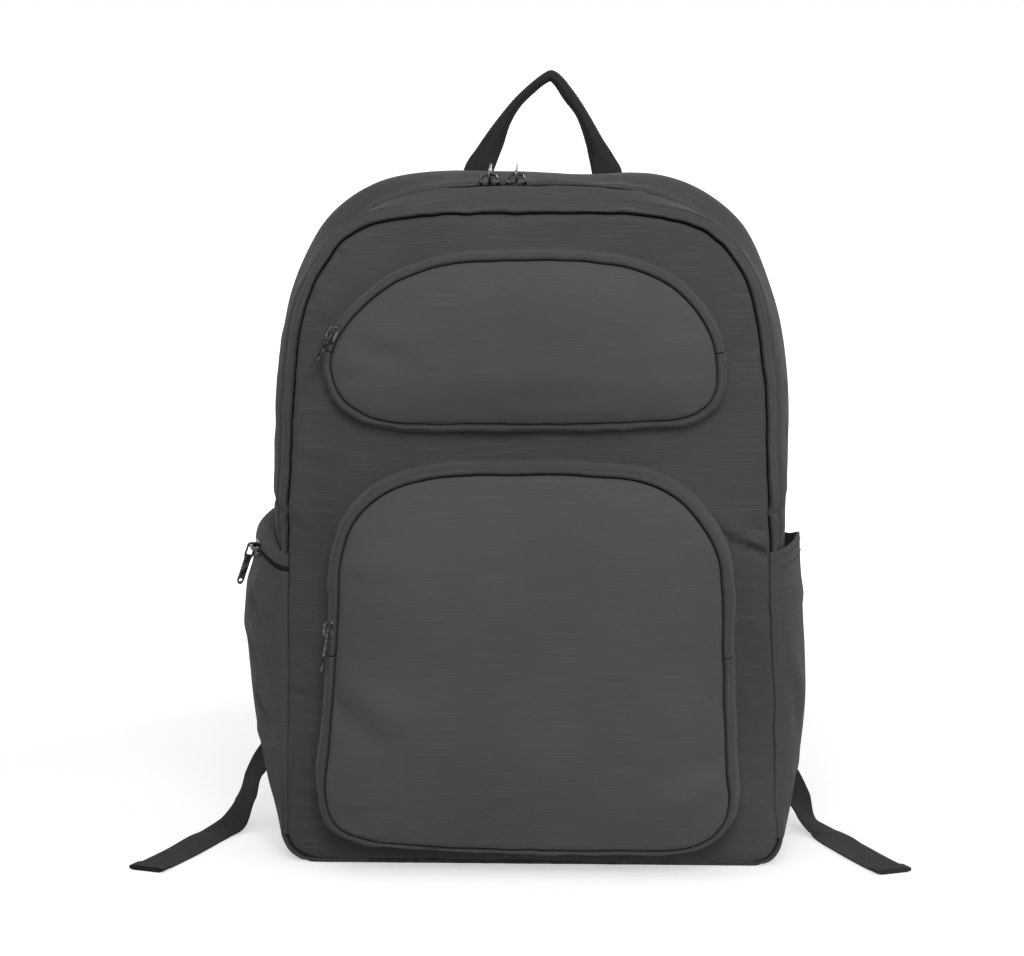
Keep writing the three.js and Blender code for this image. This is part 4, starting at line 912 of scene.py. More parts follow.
lowerPocket = {
    "name": "lower_pocket", "loop": 840, "middle": (0.0, 137.0), "rim": -91.0, "bulge": 9.0,
    "zipFoot": 140.0,
    "outline": [
        (2.2, 18.6), (40, 18.5), (76.2, 18.9), (99.0, 20.4), (113.1, 26.0), (123.0, 37.1), (126.2, 51.7),
        (124.8, 68), (122.8, 114.9), (121.6, 152.7), (121.0, 184), (117.8, 204.0), (107.3, 224.5),
        (90.6, 241.6), (69.9, 250.5), (45.1, 253.4), (-4.5, 254.5), (-48.1, 253.1), (-78.2, 247.3),
        (-97.4, 236), (-110.0, 220.2), (-115.7, 201.4), (-118.2, 163.7), (-120.6, 125.8), (-123.7, 81.4),
        (-126.4, 53), (-119.9, 33.6), (-100.1, 24.3), (-67.6, 21.0), (-30, 19.4),
    ],
    "half": 128.0, "foot": 16.0, "height": 242.0,
    "topRoll": 6.5, "sideRoll": 8.6, "footRoll": 5.2, "waver": 0.45, "seed": 71, "barrel": 4.5,
    "dents": [
        (-0.72, 0.5, 0.3, 0.1, -0.28), (0.62, 0.2, 0.3, 0.12, -0.22), (-0.45, 0.32, 0.3, 0.12, 0.2),
    ],
    "folds": [
        (-116, 126, -76, 96, 12.0, 1.9, 1.0), (-112, 196, -78, 200, 8.0, 0.7, 0.8),
        (122, 66, 88, 48, 10.0, 1.5, 1.0), (-118, 46, -92, 52, 8.0, 0.8, 0.8),
        (104, 214, 84, 196, 9, 0.7, 0.8),
    ],
}
upperPocket = {
    "name": "upper_pocket", "loop": 660, "middle": (-3.0, 336.0), "rim": -77.0, "bulge": 8.0,
    "zipFoot": 329.0,
    "outline": [
        (20, 285.3), (69.8, 286.9), (96.8, 289.8), (110.2, 296.6), (116.3, 307), (117.2, 317.4), (114.4, 335),
        (107.9, 349.3), (97.3, 362.9), (81.7, 374.6), (63.1, 382.0), (38.3, 385.6), (1, 386.6),
        (-36.2, 385.5), (-60.1, 381.6), (-79.8, 374.2), (-96.4, 363.2), (-111.1, 348.6), (-120.3, 334.2),
        (-123.1, 318.6), (-117.5, 303), (-105, 292.4), (-86.3, 286.2), (-62.5, 284.8), (-30, 285.4),
    ],
    "half": 129.5, "foot": 284.0, "height": 105.0,
    "topRoll": 6.0, "sideRoll": 6.6, "footRoll": 6.4, "waver": 0.45, "seed": 91, "barrel": 2.5,
    "dents": [(-0.6, 0.62, 0.25, 0.2, -0.2), (0.1, 0.12, 0.4, 0.1, -0.3)],
    "folds": [
        (-104, 344, -72, 338, 10.0, 1.2, 1.2), (104, 316, 84, 308, 8.0, 0.8, 0.8),
        (-20, 294, 60, 295, 7.0, 0.8, 0.8), (-118, 322, -96, 326, 7.0, 0.7, 0.8),
    ],
}
pocketBuild = {
    "wall": 1.3,
    "edge": [
        (0.9, 5.6), (0.5, 4.2), (0.2, 2.9), (0.1, 1.9), (0.35, 1.1), (0.9, 0.55), (1.7, 0.2), (2.8, 0.05),
        (4.4, 0), (6.6, 0), (9.4, 0), (13, 0),
    ],
    "inner": [0.96, 0.92, 0.87, 0.82, 0.76, 0.7, 0.63, 0.56, 0.48, 0.4, 0.31, 0.21, 0.1],
    "gathers": [(9, 0.35), (24, 0.4)], "gatherReach": 6, "gatherFrom": 0.3, "foldReach": 5,
    "rumples": [(52, 0.55), (23, 0.12)],
    # the gusset: distance out and depth of its lip, then a roll with ruffles and deeper pinches
    "lip": [(-0.6, 7.8), (0.3, 6.2), (0.6, 4.3), (1.0, 3.0), (1.7, 2.3), (2.6, 2.1)],
    "rollRows": 15, "ruffles": [(13, 0.8), (6.5, 0.35)], "pinchStep": 29, "pinchFrom": 0.35,
    "pinchReach": 2.4,
    "parts": [("arch", True, 0.3, 420, 10), ("foot", False, -0.3, 380, 20)],
    "tapeRows": [(-0.9, 6.4), (-0.2, 6.5), (0.5, 6.7), (1.0, 7.0)],
    "coilOut": 0.25, "coilDepth": 5.4, "coilRadius": 0.75,
}


def pocketFace(pocket, outline, x, z):
    share = shareOf(outline, pocket["middle"], x, z)
    away = x - pocket["middle"][0]
    dent = dented(pocket["dents"], pocket["half"], pocket["foot"], pocket["height"], away, z)
    up = np.clip((z - pocket["foot"]) / pocket["height"], 0, 1)
    barrel = pocket["barrel"] * np.sin(up**0.85 * math.pi) * (1 - np.clip(share, 0, 1) ** 5)
    return pocket["rim"] - pocket["bulge"] * (domed(share) + dent * (1 - np.clip(share, 0, 1) ** 4)) - barrel


# The width of the rolled gusset round a pocket
def rollWidth(pocket, normals):
    end = np.where(normals[:, 1] > 0, pocket["topRoll"], pocket["footRoll"])
    return normals[:, 1] ** 2 * end + normals[:, 0] ** 2 * pocket["sideRoll"]


def gussetGrid(pocket, line, seed):
    normals, run = outward(line, False), runAlong(line)
    width, rim, count = rollWidth(pocket, normals), pocket["rim"], len(line)
    rows = [(np.full(count, offset), np.full(count, rim + depth)) for offset, depth in pocketBuild["lip"]]
    start, startDepth = rows[-1]
    foot = line + normals * width[:, None]
    root = frontFace(foot[:, 0], foot[:, 1]) - 0.5
    pinch = np.maximum(0, wander(run, pocketBuild["pinchStep"], seed + 2) - pocketBuild["pinchFrom"])
    ruffle = gathers(run, pocketBuild["ruffles"], seed) - pinch * pocketBuild["pinchReach"]
    for turn in np.linspace(0, math.pi / 2, pocketBuild["rollRows"] + 1)[1:]:
        offset = start + (width - start) * math.sin(turn) ** 0.9
        depth = startDepth + (root - startDepth) * (1 - math.cos(turn)) ** 1.25
        rows.append((offset + ruffle * (math.sin(turn) * math.cos(turn) * 2), depth))
    rows.append((width + 1.4, root + 0.2))
    grid, place, across = [], [], 0
    for offset, depth in rows:
        grid.append(beside(line, normals, offset, depth))
        if len(grid) > 1:
            across += float(np.linalg.norm(grid[-1] - grid[-2], axis=1).mean())
        place.append(np.column_stack([run, np.full(count, across)]))
    return grid, place


def makePocket(pocket):
    name, rim = pocket["name"], pocket["rim"]
    outline = wavered(closedCurve(pocket["outline"], pocket["loop"]), pocket["waver"], pocket["seed"])
    panelPiece(name + "_front_cloth", name + "_face", pocketCloth, outline,
               {**pocketBuild, **pocket}, lambda x, z: pocketFace(pocket, outline, x, z))
    for part, above, gap, columns, seed in pocketBuild["parts"]:
        line = cutLoop(outline, pocket["zipFoot"] + gap, above, columns)
        grid, place = gussetGrid(pocket, line, pocket["seed"] + seed)
        piece = gridPiece(f"{name}_{part}_cloth", grid, place, shellCloth)
        settle(piece, [f"{name}_{part}_gusset"], pocketBuild["wall"])
    line = cutLoop(outline, pocket["zipFoot"] + 1, True, zips["columns"])
    normals, run = outward(line, False), runAlong(line)
    rows = pocketBuild["tapeRows"]
    grid = [beside(line, normals, offset, rim + depth) for offset, depth in rows]
    place = [np.column_stack([run, np.full(len(run), offset)]) for offset, _ in rows]
    tape = gridPiece(name + "_zip_tape", grid, place, tapeAndShadeCloth, (0, 0, 140))
    settle(tape, [name + "_zip"], zips["tapeWall"])
    path = beside(line, normals, pocketBuild["coilOut"], rim + pocketBuild["coilDepth"])
    coilPiece(name + "_zip_coil", path, np.tile([0.0, -1.0, 0.0], (len(path), 1)), pocketBuild["coilRadius"])


makePocket(lowerPocket)
makePocket(upperPocket)
print("front pockets made")


# Side pockets wrap the base band between the front and back seams

sidePockets = {
    "front": -53.4, "back": 45.4, "foot": 18.0, "wall": 1.4, "columns": 120, "rows": 150, "stand": 0.9,
    "edges": (0.035, 0.03), "edgeRoll": 3.4, "rumples": [(38, 0.8), (15, 0.25)], "wide": 105,
    "tapeRises": [-0.6, 0.6, 1.5, 2.4, 3.6], "coilRise": 1.5, "coilRadius": 1.0,
    "flapRows": 16, "flapStart": 3.3, "flapRise": 8.0, "hemRows": (-4, -10), "hemPitch": 3.2,
    "left": {
        "side": -1, "height": 182.0, "slant": 20.0, "swell": 20.5, "seed": 121, "calm": 1.0, "droop": 0.0,
        "up": [0.0, 0.08, 0.15, 0.29, 0.45, 0.7, 0.84, 0.91, 1.0],
        "out": [0.0, 0.18, 0.36, 0.64, 0.83, 1.0, 0.95, 0.76, 0.6],
        "folds": [
            (0.03, 0.8, 0.28, 0.9, 0.05, 3.4, 1.2), (0.02, 0.42, 0.24, 0.53, 0.045, 3.6, 1.3),
            (0.03, 0.06, 0.14, 0.26, 0.045, 3.4, 1.2), (0.06, 0.6, 0.26, 0.74, 0.06, 2.4, 1.1),
            (0.1, 0.27, 0.3, 0.36, 0.06, 3.0, 1.2),
            (0.5, 0.3, 0.8, 0.36, 0.05, 1.2, 0.8), (0.45, 0.7, 0.9, 0.64, 0.05, 1.3, 0.8),
        ],
    },
    "right": {
        "side": 1, "height": 189.0, "slant": 8.0, "swell": 13.5, "seed": 141, "calm": 0.5, "droop": 9.0,
        "up": [0.0, 0.08, 0.16, 0.3, 0.43, 0.63, 0.78, 0.91, 1.0],
        "out": [0.0, 0.42, 0.64, 0.88, 1.0, 0.9, 0.76, 0.6, 0.55],
        "folds": [
            (0.06, 0.66, 0.3, 0.42, 0.07, 2.4, 1.0), (0.04, 0.08, 0.18, 0.2, 0.05, 2.6, 1.2),
            (0.55, 0.8, 0.9, 0.7, 0.05, 1.2, 0.8), (0.5, 0.2, 0.85, 0.14, 0.05, 1.0, 0.8),
        ],
    },
}


# Half the body's width on one side, at each depth and height
def halfAt(side, depths, heights):
    found = np.zeros_like(heights)
    for j, depth in enumerate(depths):
        outline = bodyOutline(depth)
        wall = outline[np.abs(outline[:, 0]) > 100]
        wall = wall[(wall[:, 0] * side > 0) & (wall[:, 1] < 330)]
        wall = wall[np.argsort(wall[:, 1])]
        found[:, j] = np.interp(heights[:, j], wall[:, 1], wall[:, 0] * side)
    return found


def mouthHeight(look, share):
    height = look["height"] - look["droop"] * eased((share - 0.45) / 0.55)
    return sidePockets["foot"] + height + look["slant"] * (np.sin(share * math.pi / 2) - 0.6)


def sideGrid(look, shares, heights, swells):
    depths = sidePockets["front"] + (sidePockets["back"] - sidePockets["front"]) * shares[0]
    out = halfAt(look["side"], depths, heights) + sidePockets["stand"] + sidePockets["wall"]
    out = out + swells * np.sin(math.pi * np.clip(shares, 0, 1)) ** 0.7
    for edge in (shares / sidePockets["edges"][0], (1 - shares) / sidePockets["edges"][1]):
        out = out - sidePockets["edgeRoll"] * (1 - np.sqrt(1 - np.clip(1 - edge, 0, 1) ** 2))
    return tapered(look["side"] * out, np.broadcast_to(depths, out.shape), heights)


# Columns stand closer together near both seams
def pocketShares(columns):
    at = np.linspace(0, 1, columns)
    return at - 0.12 * np.sin(2 * math.pi * at)


def sidePiece(name, node, finish, grid, place, wall):
    settle(gridPiece(name, grid, place, finish, (0, 0, 110)), [node], wall)


def sidePocketCloth(label):
    look = sidePockets[label]
    columns, rows = sidePockets["columns"], sidePockets["rows"]
    u = np.broadcast_to(pocketShares(columns), (rows, columns))
    v = np.broadcast_to(np.linspace(0, 1, rows)[:, None], (rows, columns))
    top = mouthHeight(look, u) - 0.3
    heights = sidePockets["foot"] + (top - sidePockets["foot"]) * v
    swells = look["swell"] * curveThrough(look["up"], look["out"], v)
    hold = eased(u / 0.08) * eased((1 - u) / 0.08) * eased(v / 0.06)
    swells = swells + folded(look["folds"], u, v) * hold
    broad = rumples(u * 98 + 200, heights, sidePockets["rumples"], look["seed"])
    grid = sideGrid(look, u, heights, swells + broad * hold * look["calm"])
    place = paired(u * sidePockets["wide"], heights)
    sidePiece(label + "_pocket_cloth", label + "_side_pocket", bandCloth, grid, place, sidePockets["wall"])
    return grid


# The left mouth has a zip along it, under a flap
def makeLeftMouth():
    look, columns = sidePockets["left"], sidePockets["columns"]
    swell = look["swell"] * look["out"][-1]
    u = pocketShares(columns)[None, :]
    mouth, run = mouthHeight(look, u), u * sidePockets["wide"]
    rise = np.array(sidePockets["tapeRises"])[:, None]
    heights = mouth + rise
    grid = sideGrid(look, np.broadcast_to(u, heights.shape), heights, np.full(heights.shape, swell - 1.3))
    sidePiece("left_pocket_zip_tape", "left_pocket_zip", tapeAndShadeCloth, grid, paired(run, rise), zips["tapeWall"])
    middle = sideGrid(look, u, mouth + sidePockets["coilRise"], np.full((1, columns), swell - 0.4))[0]
    lifts = np.tile([-1.0, 0.0, 0.0], (columns - 4, 1))
    coilPiece("left_pocket_zip_coil", middle[2:-2], lifts, sidePockets["coilRadius"])
    up = np.linspace(0, 1, sidePockets["flapRows"])[:, None]
    heights = mouth + sidePockets["flapStart"] + sidePockets["flapRise"] * up
    fall = swell * np.sqrt(1 - up**1.6) + rumple(u * 98 + 40, up * 8, 12, 161) * 0.4 * (1 - up)
    grid = sideGrid(look, np.broadcast_to(u, heights.shape), heights, np.broadcast_to(fall, heights.shape))
    place = paired(run, up * 9)
    sidePiece("left_pocket_flap_cloth", "left_pocket_flap", bandCloth, grid, place, sidePockets["wall"])


def makeSidePockets():
    sidePocketCloth("left")
    makeLeftMouth()
    hem = sidePocketCloth("right")[:, 6:-6]
    lifts = np.tile([1.0, -0.2, 0.0], (hem.shape[1], 1))
    runs = [(hem[row] + np.array([0.1, 0, 0]), lifts) for row in sidePockets["hemRows"]]
    stitchRun("right_pocket_hem_stitches", runs, sidePockets["hemPitch"])


makeSidePockets()
print("side pockets made")


# Webbing: the carry handle and the strap tails

webbing = {"thick": 1.5, "rib": 1.55, "ribSteps": 4, "ribHeight": 0.22, "edgeShare": 0.55, "clear": 0.05}
handle = {
    "width": 20.0, "foot": 402.5, "seat": (5.0, 414.0),
    # outer and inner edge: x, z, x, z
    "edges": [
        (-46.1, 437.3, -25.6, 437.4), (-35.6, 453.7, -20.6, 453.7), (-25.0, 468.3, -16.2, 467.8),
        (-12.8, 483.1, -9.0, 479.8), (-0.8, 494.3, 1.8, 490.2), (6.4, 499.7, 7.0, 494.2),
        (11.0, 501.8, 10.6, 495.8), (15.6, 499.7, 13.6, 493.2), (25.4, 488.3, 20.0, 483.6),
        (34.4, 474.7, 28.1, 472.8), (45.0, 456.6, 34.3, 455.6), (51.8, 446.6, 36.2, 446.4),
        (57.7, 436.2, 37.8, 436.6),
    ],
}
backLoop = sectionLoop(body["backSeam"])


def backFace(x, z):
    share = np.clip(shareOf(backLoop, frontPanel["middle"], np.asarray(x, float), np.asarray(z, float)), 0, 1)
    return body["backSeam"] + 5.0 * (1 - share**3)


# The web bends into a gutter where it shows narrower than it is: places and depths across it
def gutter(wide, parts=16):
    half = wide / 2
    low, high = 0.05, 12.0
    for _ in range(24):
        deep = (low + high) / 2
        turn = np.linspace(0, math.pi, 60)
        line = np.column_stack([half * (1 - np.cos(turn)), deep * np.sin(turn)])
        length = np.linalg.norm(np.diff(line, axis=0), axis=1).sum()
        low, high = (deep, high) if length < handle["width"] else (low, deep)
    line = evenly(line, parts + 1, False)
    return np.column_stack([line[:, 0], deep - line[:, 1]])


# Even places along a curve, several to a rib, and the height of the ribs there
def ribPlaces(curve, last, samples):
    at = np.linspace(0, last, samples)
    run = runAlong(np.array([curve(spot) for spot in at]))
    count = int(run[-1] / webbing["rib"] * webbing["ribSteps"])
    ribs = webbing["ribHeight"] * np.abs(np.sin(np.arange(count) / webbing["ribSteps"] * math.pi))
    return np.interp(np.linspace(0, run[-1], count), run, at), ribs, run[-1]


# Both faces of a ribbed web, from its middle line at each place
def webPiece(name, node, lines, alongs, thicks, ribs, length, step, centre):
    rings = []
    for line, along, thick, rib in zip(lines, alongs, thicks, ribs):
        out = np.cross(np.gradient(line, axis=0), along)
        out /= np.linalg.norm(out, axis=1)[:, None]
        edge = np.ones(len(line))
        edge[0] = edge[-1] = webbing["edgeShare"]
        lift = out * ((thick / 2 + rib) * edge)[:, None]
        rings.append(np.vstack([line + lift, (line - lift)[::-1]]))
    rings = np.array(rings)
    rings[..., 2] = np.maximum(rings[..., 2], webbing["clear"])
    count, around = rings.shape[:2]
    place = paired(np.linspace(0, length, count)[:, None], np.arange(around)[None, :] * step)
    settle(ringSolid(name, rings, place, webbingCloth, centre), [node])


def makeHandle():
    foot, edges = handle["foot"], handle["edges"]
    ends = [(edge[0], foot, edge[2], foot) for edge in (edges[0], edges[-1])]
    rows = np.array([ends[0], *edges, ends[1]])
    back = float(backFace(*handle["seat"])) + 0.3 + webbing["thick"]
    last = len(rows) - 1

    def middle(at):
        spot = curvePoint(rows, at)
        return (spot[:2] + spot[2:]) / 2

    places, ribs, length = ribPlaces(middle, last, 600)
    lines, alongs = [], []
    for at in places:
        spot = curvePoint(rows, at)
        way = middle(min(last, at + 0.01)) - middle(max(0, at - 0.01))
        inwards = spot[2:] - spot[:2]
        wide = np.linalg.norm(inwards)
        section = gutter(min(wide, handle["width"] - 0.1))
        inwards = np.array([inwards[0], 0, inwards[1]]) / wide
        start = np.array([spot[0], back, spot[1]])
        lines.append(start + section[:, :1] * inwards + section[:, 1:] * np.array([0, 1, 0]))
        alongs.append(np.array([way[0], 0, way[1]]) / np.linalg.norm(way))
    thicks = [webbing["thick"]] * len(places)
    webPiece("carry_handle_web", "carry_handle", lines, alongs, thicks, ribs, length, 1.1, (0, 0, 220))


makeHandle()
print("carry handle made")

straps = {
    "topHeight": 402.0, "footHeight": 132.0, "topSpread": 96.0, "footSpread": 206.0, "width": 62.0,
    "thickness": 11.0, "bow": 34.0, "webWidth": 24.0, "rings": 60, "around": 28, "heldAbove": 390,
    "heldBelow": 145,
    "along": [0.0, 0.12, 0.35, 0.6, 0.82, 1.0],
    "spread": [0.0, 0.02, 0.16, 0.5, 0.86, 1.0],
    "out": [0.0, 0.3, 0.92, 1.0, 0.62, 0.34],
    "wide": [0.86, 0.95, 1.0, 1.0, 0.8, 0.42],
    "thick": [0.5, 0.95, 1.0, 1.0, 0.95, 0.45],
}
buckles = {"height": 24.0, "thick": 4.0, "rail": 4.5}
tails = {
    "anchorHeight": 24.0, "anchorLength": 18.0, "anchorLean": 6.0, "hem": 11.0, "panelHalf": 155.5,
    "bow": 0.35, "hemPitch": 2.8,
    # the free part's upper and lower edges, from the buckle to the hem
    "left": [
        ((-123, 84, 98), (-104, 70, 88)), ((-158, 78, 74), (-152, 58, 60)), ((-178, 66, 55), (-175, 45, 44)),
        ((-188, 56, 40), (-185, 35, 30)), ((-195, 46, 24), (-188, 25, 16.5)), ((-206, 36, 8), (-192, 17, 4)),
        ((-218, 22, 1.6), (-200, 4, 0.8)), ((-236, -29, 0.8), (-213, -37, 0.8)),
        ((-246, -56, 0.8), (-222.6, -63, 0.8)), ((-254, -75, 0.8), (-230, -84, 0.8)),
    ],
    "right": [
        ((122, 84, 96), (104, 72, 84)), ((148, 82, 68), (144, 66, 52)), ((165, 73, 46), (162, 58, 32)),
        ((177, 60, 27), (174, 44, 17)), ((186.5, 50, 8), (180.5, 29, 8)), ((199, 40, 1.8), (188.5, 17, 1.6)),
        ((214.5, 5, 0.8), (196.5, -11, 0.8)), ((232, -38, 0.8), (209, -45, 0.8)),
        ((244, -64, 0.8), (220.5, -73, 0.8)),
    ],
}


# A pad is blown up a little as cloth, held where it is sewn
puffing = {
    "pressure": 4.0, "frames": 20, "voxel": 0.0045, "most": 0.006, "quality": 4, "mass": 0.3, "stretch": 15,
    "bend": 0.6, "smoothing": 0.6, "smoothings": 7,
}


def spotsOf(mesh):
    return np.array([tuple(vertex.co) for vertex in mesh.vertices])


def evaluated(piece):
    return piece.evaluated_get(bpy.context.evaluated_depsgraph_get())


def setCloth(piece, pinned):
    cloth = piece.modifiers.new("cloth", "CLOTH")
    settings = cloth.settings
    settings.quality = puffing["quality"]
    settings.mass = puffing["mass"]
    settings.tension_stiffness = settings.compression_stiffness = puffing["stretch"]
    settings.bending_stiffness = puffing["bend"]
    settings.use_pressure = True
    settings.uniform_pressure_force = puffing["pressure"]
    settings.effector_weights.gravity = 0
    settings.vertex_group_mass = pinned
    cloth.collision_settings.use_collision = False


def simulate(piece, held):
    remesh = piece.modifiers.new("even cloth", "REMESH")
    remesh.mode = "VOXEL"
    remesh.voxel_size = puffing["voxel"]
    even = bpy.data.meshes.new_from_object(evaluated(piece))
    piece.modifiers.clear()
    piece.data = even
    spots = spotsOf(even)
    pins = piece.vertex_groups.new(name="sewn edge")
    pins.add(np.flatnonzero(held(spots * 1000)).tolist(), 1.0, "REPLACE")
    setCloth(piece, pins.name)
    for moment in range(1, puffing["frames"] + 1):
        bpy.context.scene.frame_set(moment)
    moved = spotsOf(evaluated(piece).data) - spots
    reach = np.linalg.norm(moved, axis=1)
    moved *= np.minimum(1, puffing["most"] / np.maximum(reach, 1e-9))[:, None]
    piece.modifiers.clear()
    piece.vertex_groups.clear()
    bpy.context.scene.frame_set(1)
    even.vertices.foreach_set("co", (spots + moved).ravel())
    even.update()
    print("puffed", piece.name, len(spots), "points, most", round(float(reach.max() * 1000), 2), "mm")


def puffed(piece, held):
    simulate(piece, held)
    mesh = piece.data
    spots = spotsOf(mesh)
    flat = np.zeros((len(spots), 3), np.float32)
    flat[:, :2] = spots[:, [0, 2]]
    known = mesh.attributes.get("clothPlace")
    attribute = known or mesh.attributes.new("clothPlace", "FLOAT_VECTOR", "POINT")
    attribute.data.foreach_set("vector", flat.ravel())
    mesh.polygons.foreach_set("use_smooth", [True] * len(mesh.polygons))
    even = piece.modifiers.new("even surface", "SMOOTH")
    even.factor = puffing["smoothing"]
    even.iterations = puffing["smoothings"]
    smooth = piece.modifiers.new("soft surface", "SUBSURF")
    smooth.levels = smooth.render_levels = 1


def strapPlace(side, along):
    shares = [curveThrough(straps["along"], straps[key], along) for key in ("spread", "out", "wide", "thick")]
    spread, out, wide, thick = map(float, shares)
    x = side * (straps["topSpread"] + (straps["footSpread"] - straps["topSpread"]) * spread) / 2
    z = straps["topHeight"] - (straps["topHeight"] - straps["footHeight"]) * along
    thick = straps["thickness"] * thick
    y = float(backFace(x, z)) + 0.3 + thick / 2 + straps["bow"] * out
    return np.array([x, y, z]), straps["width"] * wide, thick


def strapFrame(side, along):
    first, last = strapPlace(side, max(0, along - 0.01))[0], strapPlace(side, min(1, along + 0.01))[0]
    way = (last - first) / np.linalg.norm(last - first)
    across = np.array([1.0, 0, 0]) - way * way[0]
    across /= np.linalg.norm(across)
    return way, across, np.cross(across, way)


def makeStrap(side, label):
    rings, around = [], straps["around"]
    for along in np.linspace(0, 1, straps["rings"]):
        spot, width, thick = strapPlace(side, along)
        _, across, out = strapFrame(side, along)
        ring = []
        for k in range(around):
            level, rise = math.cos(2 * math.pi * k / around), math.sin(2 * math.pi * k / around)
            a = math.copysign(abs(level) ** 0.42, level) * width / 2
            o = math.copysign(abs(rise) ** 0.75, rise) * thick / 2
            ring.append(spot + across * a + out * o)
        rings.append(ring)
    place = paired(np.linspace(0, 300, straps["rings"])[:, None], np.linspace(0, 140, around)[None, :])
    piece = ringSolid(label + "_strap_pad", rings, place, paddedCloth, (side * 40, 75, 260), 0)
    puffed(piece, lambda spots: (spots[:, 2] > straps["heldAbove"]) | (spots[:, 2] < straps["heldBelow"]))
    settle(piece, [label + "_shoulder_strap"])


def buckleFrame(side):
    spot, _, _ = strapPlace(side, 1.0)
    way, across, _ = strapFrame(side, 1.0)
    up = -way
    out = np.cross(across, up)
    middle = spot - up * (0.3 + buckles["height"] / 2)
    return middle, across, up, out


# The web's course: up from its anchor, round the buckle's rail and down along the free part's edges
def tailRows(side, label):
    middle, across, up, out = buckleFrame(side)

    def inFrame(y, z):
        return middle + up * y + out * z

    thick = webbing["thick"]
    reach = math.hypot(buckles["thick"] / 2, buckles["rail"] / 2) + 0.3 + thick / 2
    sewn = tails["panelHalf"] - straps["webWidth"] * 0.75
    slant = np.array([0.9, 0, side * 0.35])
    rows = []
    for rise in (0, 1):
        x = side * (sewn - tails["anchorLean"] * rise)
        z = tails["anchorHeight"] + tails["anchorLength"] * rise
        rows.append((np.array([x, float(backFace(x, z)) + 0.3 + thick / 2 + rise, z]), slant))
    rows.append((inFrame(-buckles["height"] / 2 - reach, -reach), across))
    for turn in np.linspace(0, math.pi, 7):
        rows.append((inFrame(reach * math.sin(turn), -reach * math.cos(turn)), across))
    rows.append((inFrame(-buckles["height"] / 2 - reach, reach), across))
    for upper, lower in tails[label]:
        upper, lower = np.array(upper, float), np.array(lower, float)
        way = (upper - lower) * side
        rows.append(((upper + lower) / 2, way * math.copysign(1, way.dot(rows[-1][1]))))
    return np.array([spot for spot, _ in rows]), np.array([way / np.linalg.norm(way) for _, way in rows])


def makeTail(side, label):
    path, wide = tailRows(side, label)
    thick, half = webbing["thick"], straps["webWidth"] / 2
    last = len(path) - 1
    hem = last - tails["hem"] / np.linalg.norm(path[last] - path[last - 1])
    places, ribs, length = ribPlaces(lambda at: curvePoint(path, at), last, 900)
    lines, alongs, thicks = [], [], []
    for at in places:
        low = min(int(at), last - 1)
        lean = wide[low] + (wide[low + 1] - wide[low]) * eased(at - low)
        way = curveAlong(path, at)
        lean = lean - way * lean.dot(way)
        lean /= np.linalg.norm(lean)
        doubled = at >= hem
        spread = np.linspace(-0.5, 0.5, 9)[:, None] * straps["webWidth"]
        bowed = np.cross(lean, way) * (tails["bow"] * (1 - (spread / half) ** 2))
        line = curvePoint(path, at) + lean * spread + bowed
        if doubled:
            line[:, 2] += thick / 2
        line[:, 2] -= min(0, (line[:, 2] - thick * (1 if doubled else 0.5)).min())
        lines.append(line)
        alongs.append(way)
        thicks.append(thick * 2 if doubled else thick)
    name, node = label + "_tail_web", label + "_strap_webbing"
    webPiece(name, node, lines, alongs, thicks, ribs, length, 2.6, (0, 0, 0))
    first = int(np.searchsorted(places, hem))
    runs = []
    for at in (first + 3, first + int(0.8 * (len(places) - first))):
        row = lines[at][1:-1] + np.array([0, 0, thicks[at] / 2 + 0.1])
        runs.append((row, np.tile([0.0, 0.0, 1.0], (len(row), 1))))
    stitchRun(label + "_tail_hem_stitches", runs, tails["hemPitch"])


for sideWay, sideLabel in ((-1, "left"), (1, "right")):
    makeStrap(sideWay, sideLabel)
    makeTail(sideWay, sideLabel)
print("straps made")


# The padded back

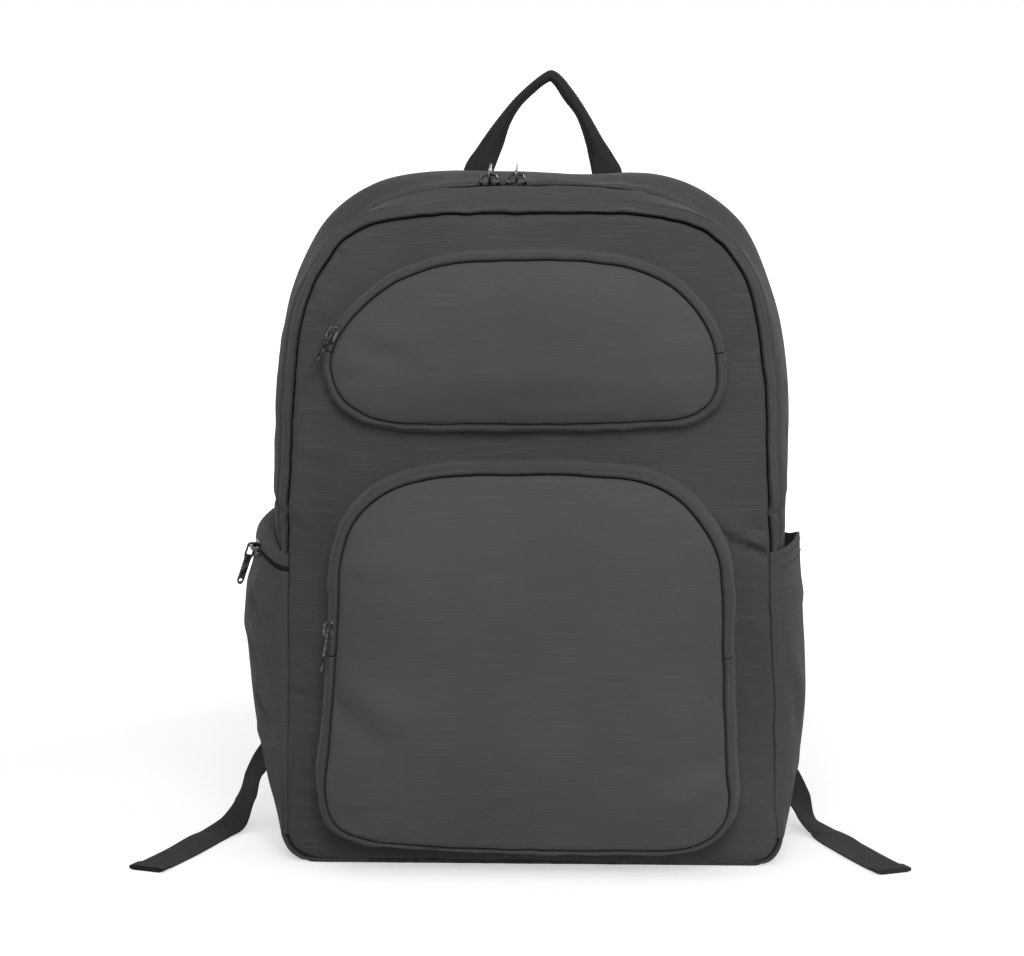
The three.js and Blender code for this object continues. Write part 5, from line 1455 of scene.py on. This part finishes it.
backPad = {
    "middle": frontPanel["middle"],
    "edge": [
        (1.6, -6.0), (1.0, -4.4), (0.8, -3.0), (1.0, -1.9), (1.6, -1.1), (2.6, -0.5), (4.2, -0.15), (6.4, 0),
        (9.5, 0), (13, 0),
    ],
    "inner": [0.96, 0.92, 0.87, 0.82, 0.76, 0.7, 0.64, 0.57, 0.5, 0.42, 0.34, 0.25, 0.15, 0.06],
    "rumples": [(40, 0.5)], "seed": 171,
}


def makeBackPad():
    flat, drops, insets, _, _, faces, more = ringPanel(backLoop, backPad)
    x, z = flat[:, 0], flat[:, 1]
    y = backFace(x, z) + drops + rumples(x + 500, z, backPad["rumples"], backPad["seed"]) * eased(insets / 8)
    piece = makePiece("back_pad", np.column_stack([x, y, z]), faces, paddedCloth, place=flat, more=more)
    settle(piece, ["back_panel"], 7.0)


makeBackPad()
print("back pad made")

# Sliders, pullers and buckles keep their places and get worn, rounded edges. The pullers are
# turned a little about their hinges, clear of the cloth's swell.
hardware = {
    "edge": 0.22, "segments": 2, "sharp": 35,
    "turns": {
        "main_left_puller": -5.5, "main_right_puller": -5.5, "lower_pocket_puller": 12.0,
        "upper_pocket_puller": 7.0, "side_pocket_puller": 9.0,
    },
    "slots": {"slider": "slider_metal", "puller": "slider_metal", "buckle": "buckle_plastic"},
    "finishes": {"slider": platedMetal, "puller": platedMetal, "buckle": bucklePlastic},
}


def makeHardware():
    joints = {joint["child"]: joint for joint in frame["record"]["behaviour"]["joints"]}
    for name, node in frame["nodes"].items():
        kind = name.split("_")[-1]
        if kind not in hardware["slots"]:
            continue
        piece = newObject(name + "_finished", node.data.copy())
        if name in hardware["turns"]:
            pivot = Matrix.Translation(joints[name]["pos_m"])
            turn = Matrix.Rotation(math.radians(hardware["turns"][name]), 4, Vector(joints[name]["axis"]))
            piece.data.transform(pivot @ turn @ pivot.inverted())
        bevel = piece.modifiers.new("worn edges", "BEVEL")
        bevel.width = hardware["edge"] * 0.001
        bevel.segments = hardware["segments"]
        bevel.limit_method = "ANGLE"
        bevel.angle_limit = math.radians(hardware["sharp"])
        piece.data.materials.clear()
        piece.data.materials.append(hardware["finishes"][kind])
        settle(piece, [name], body=name if kind == "puller" else "bag")


makeHardware()
print("hardware finished")
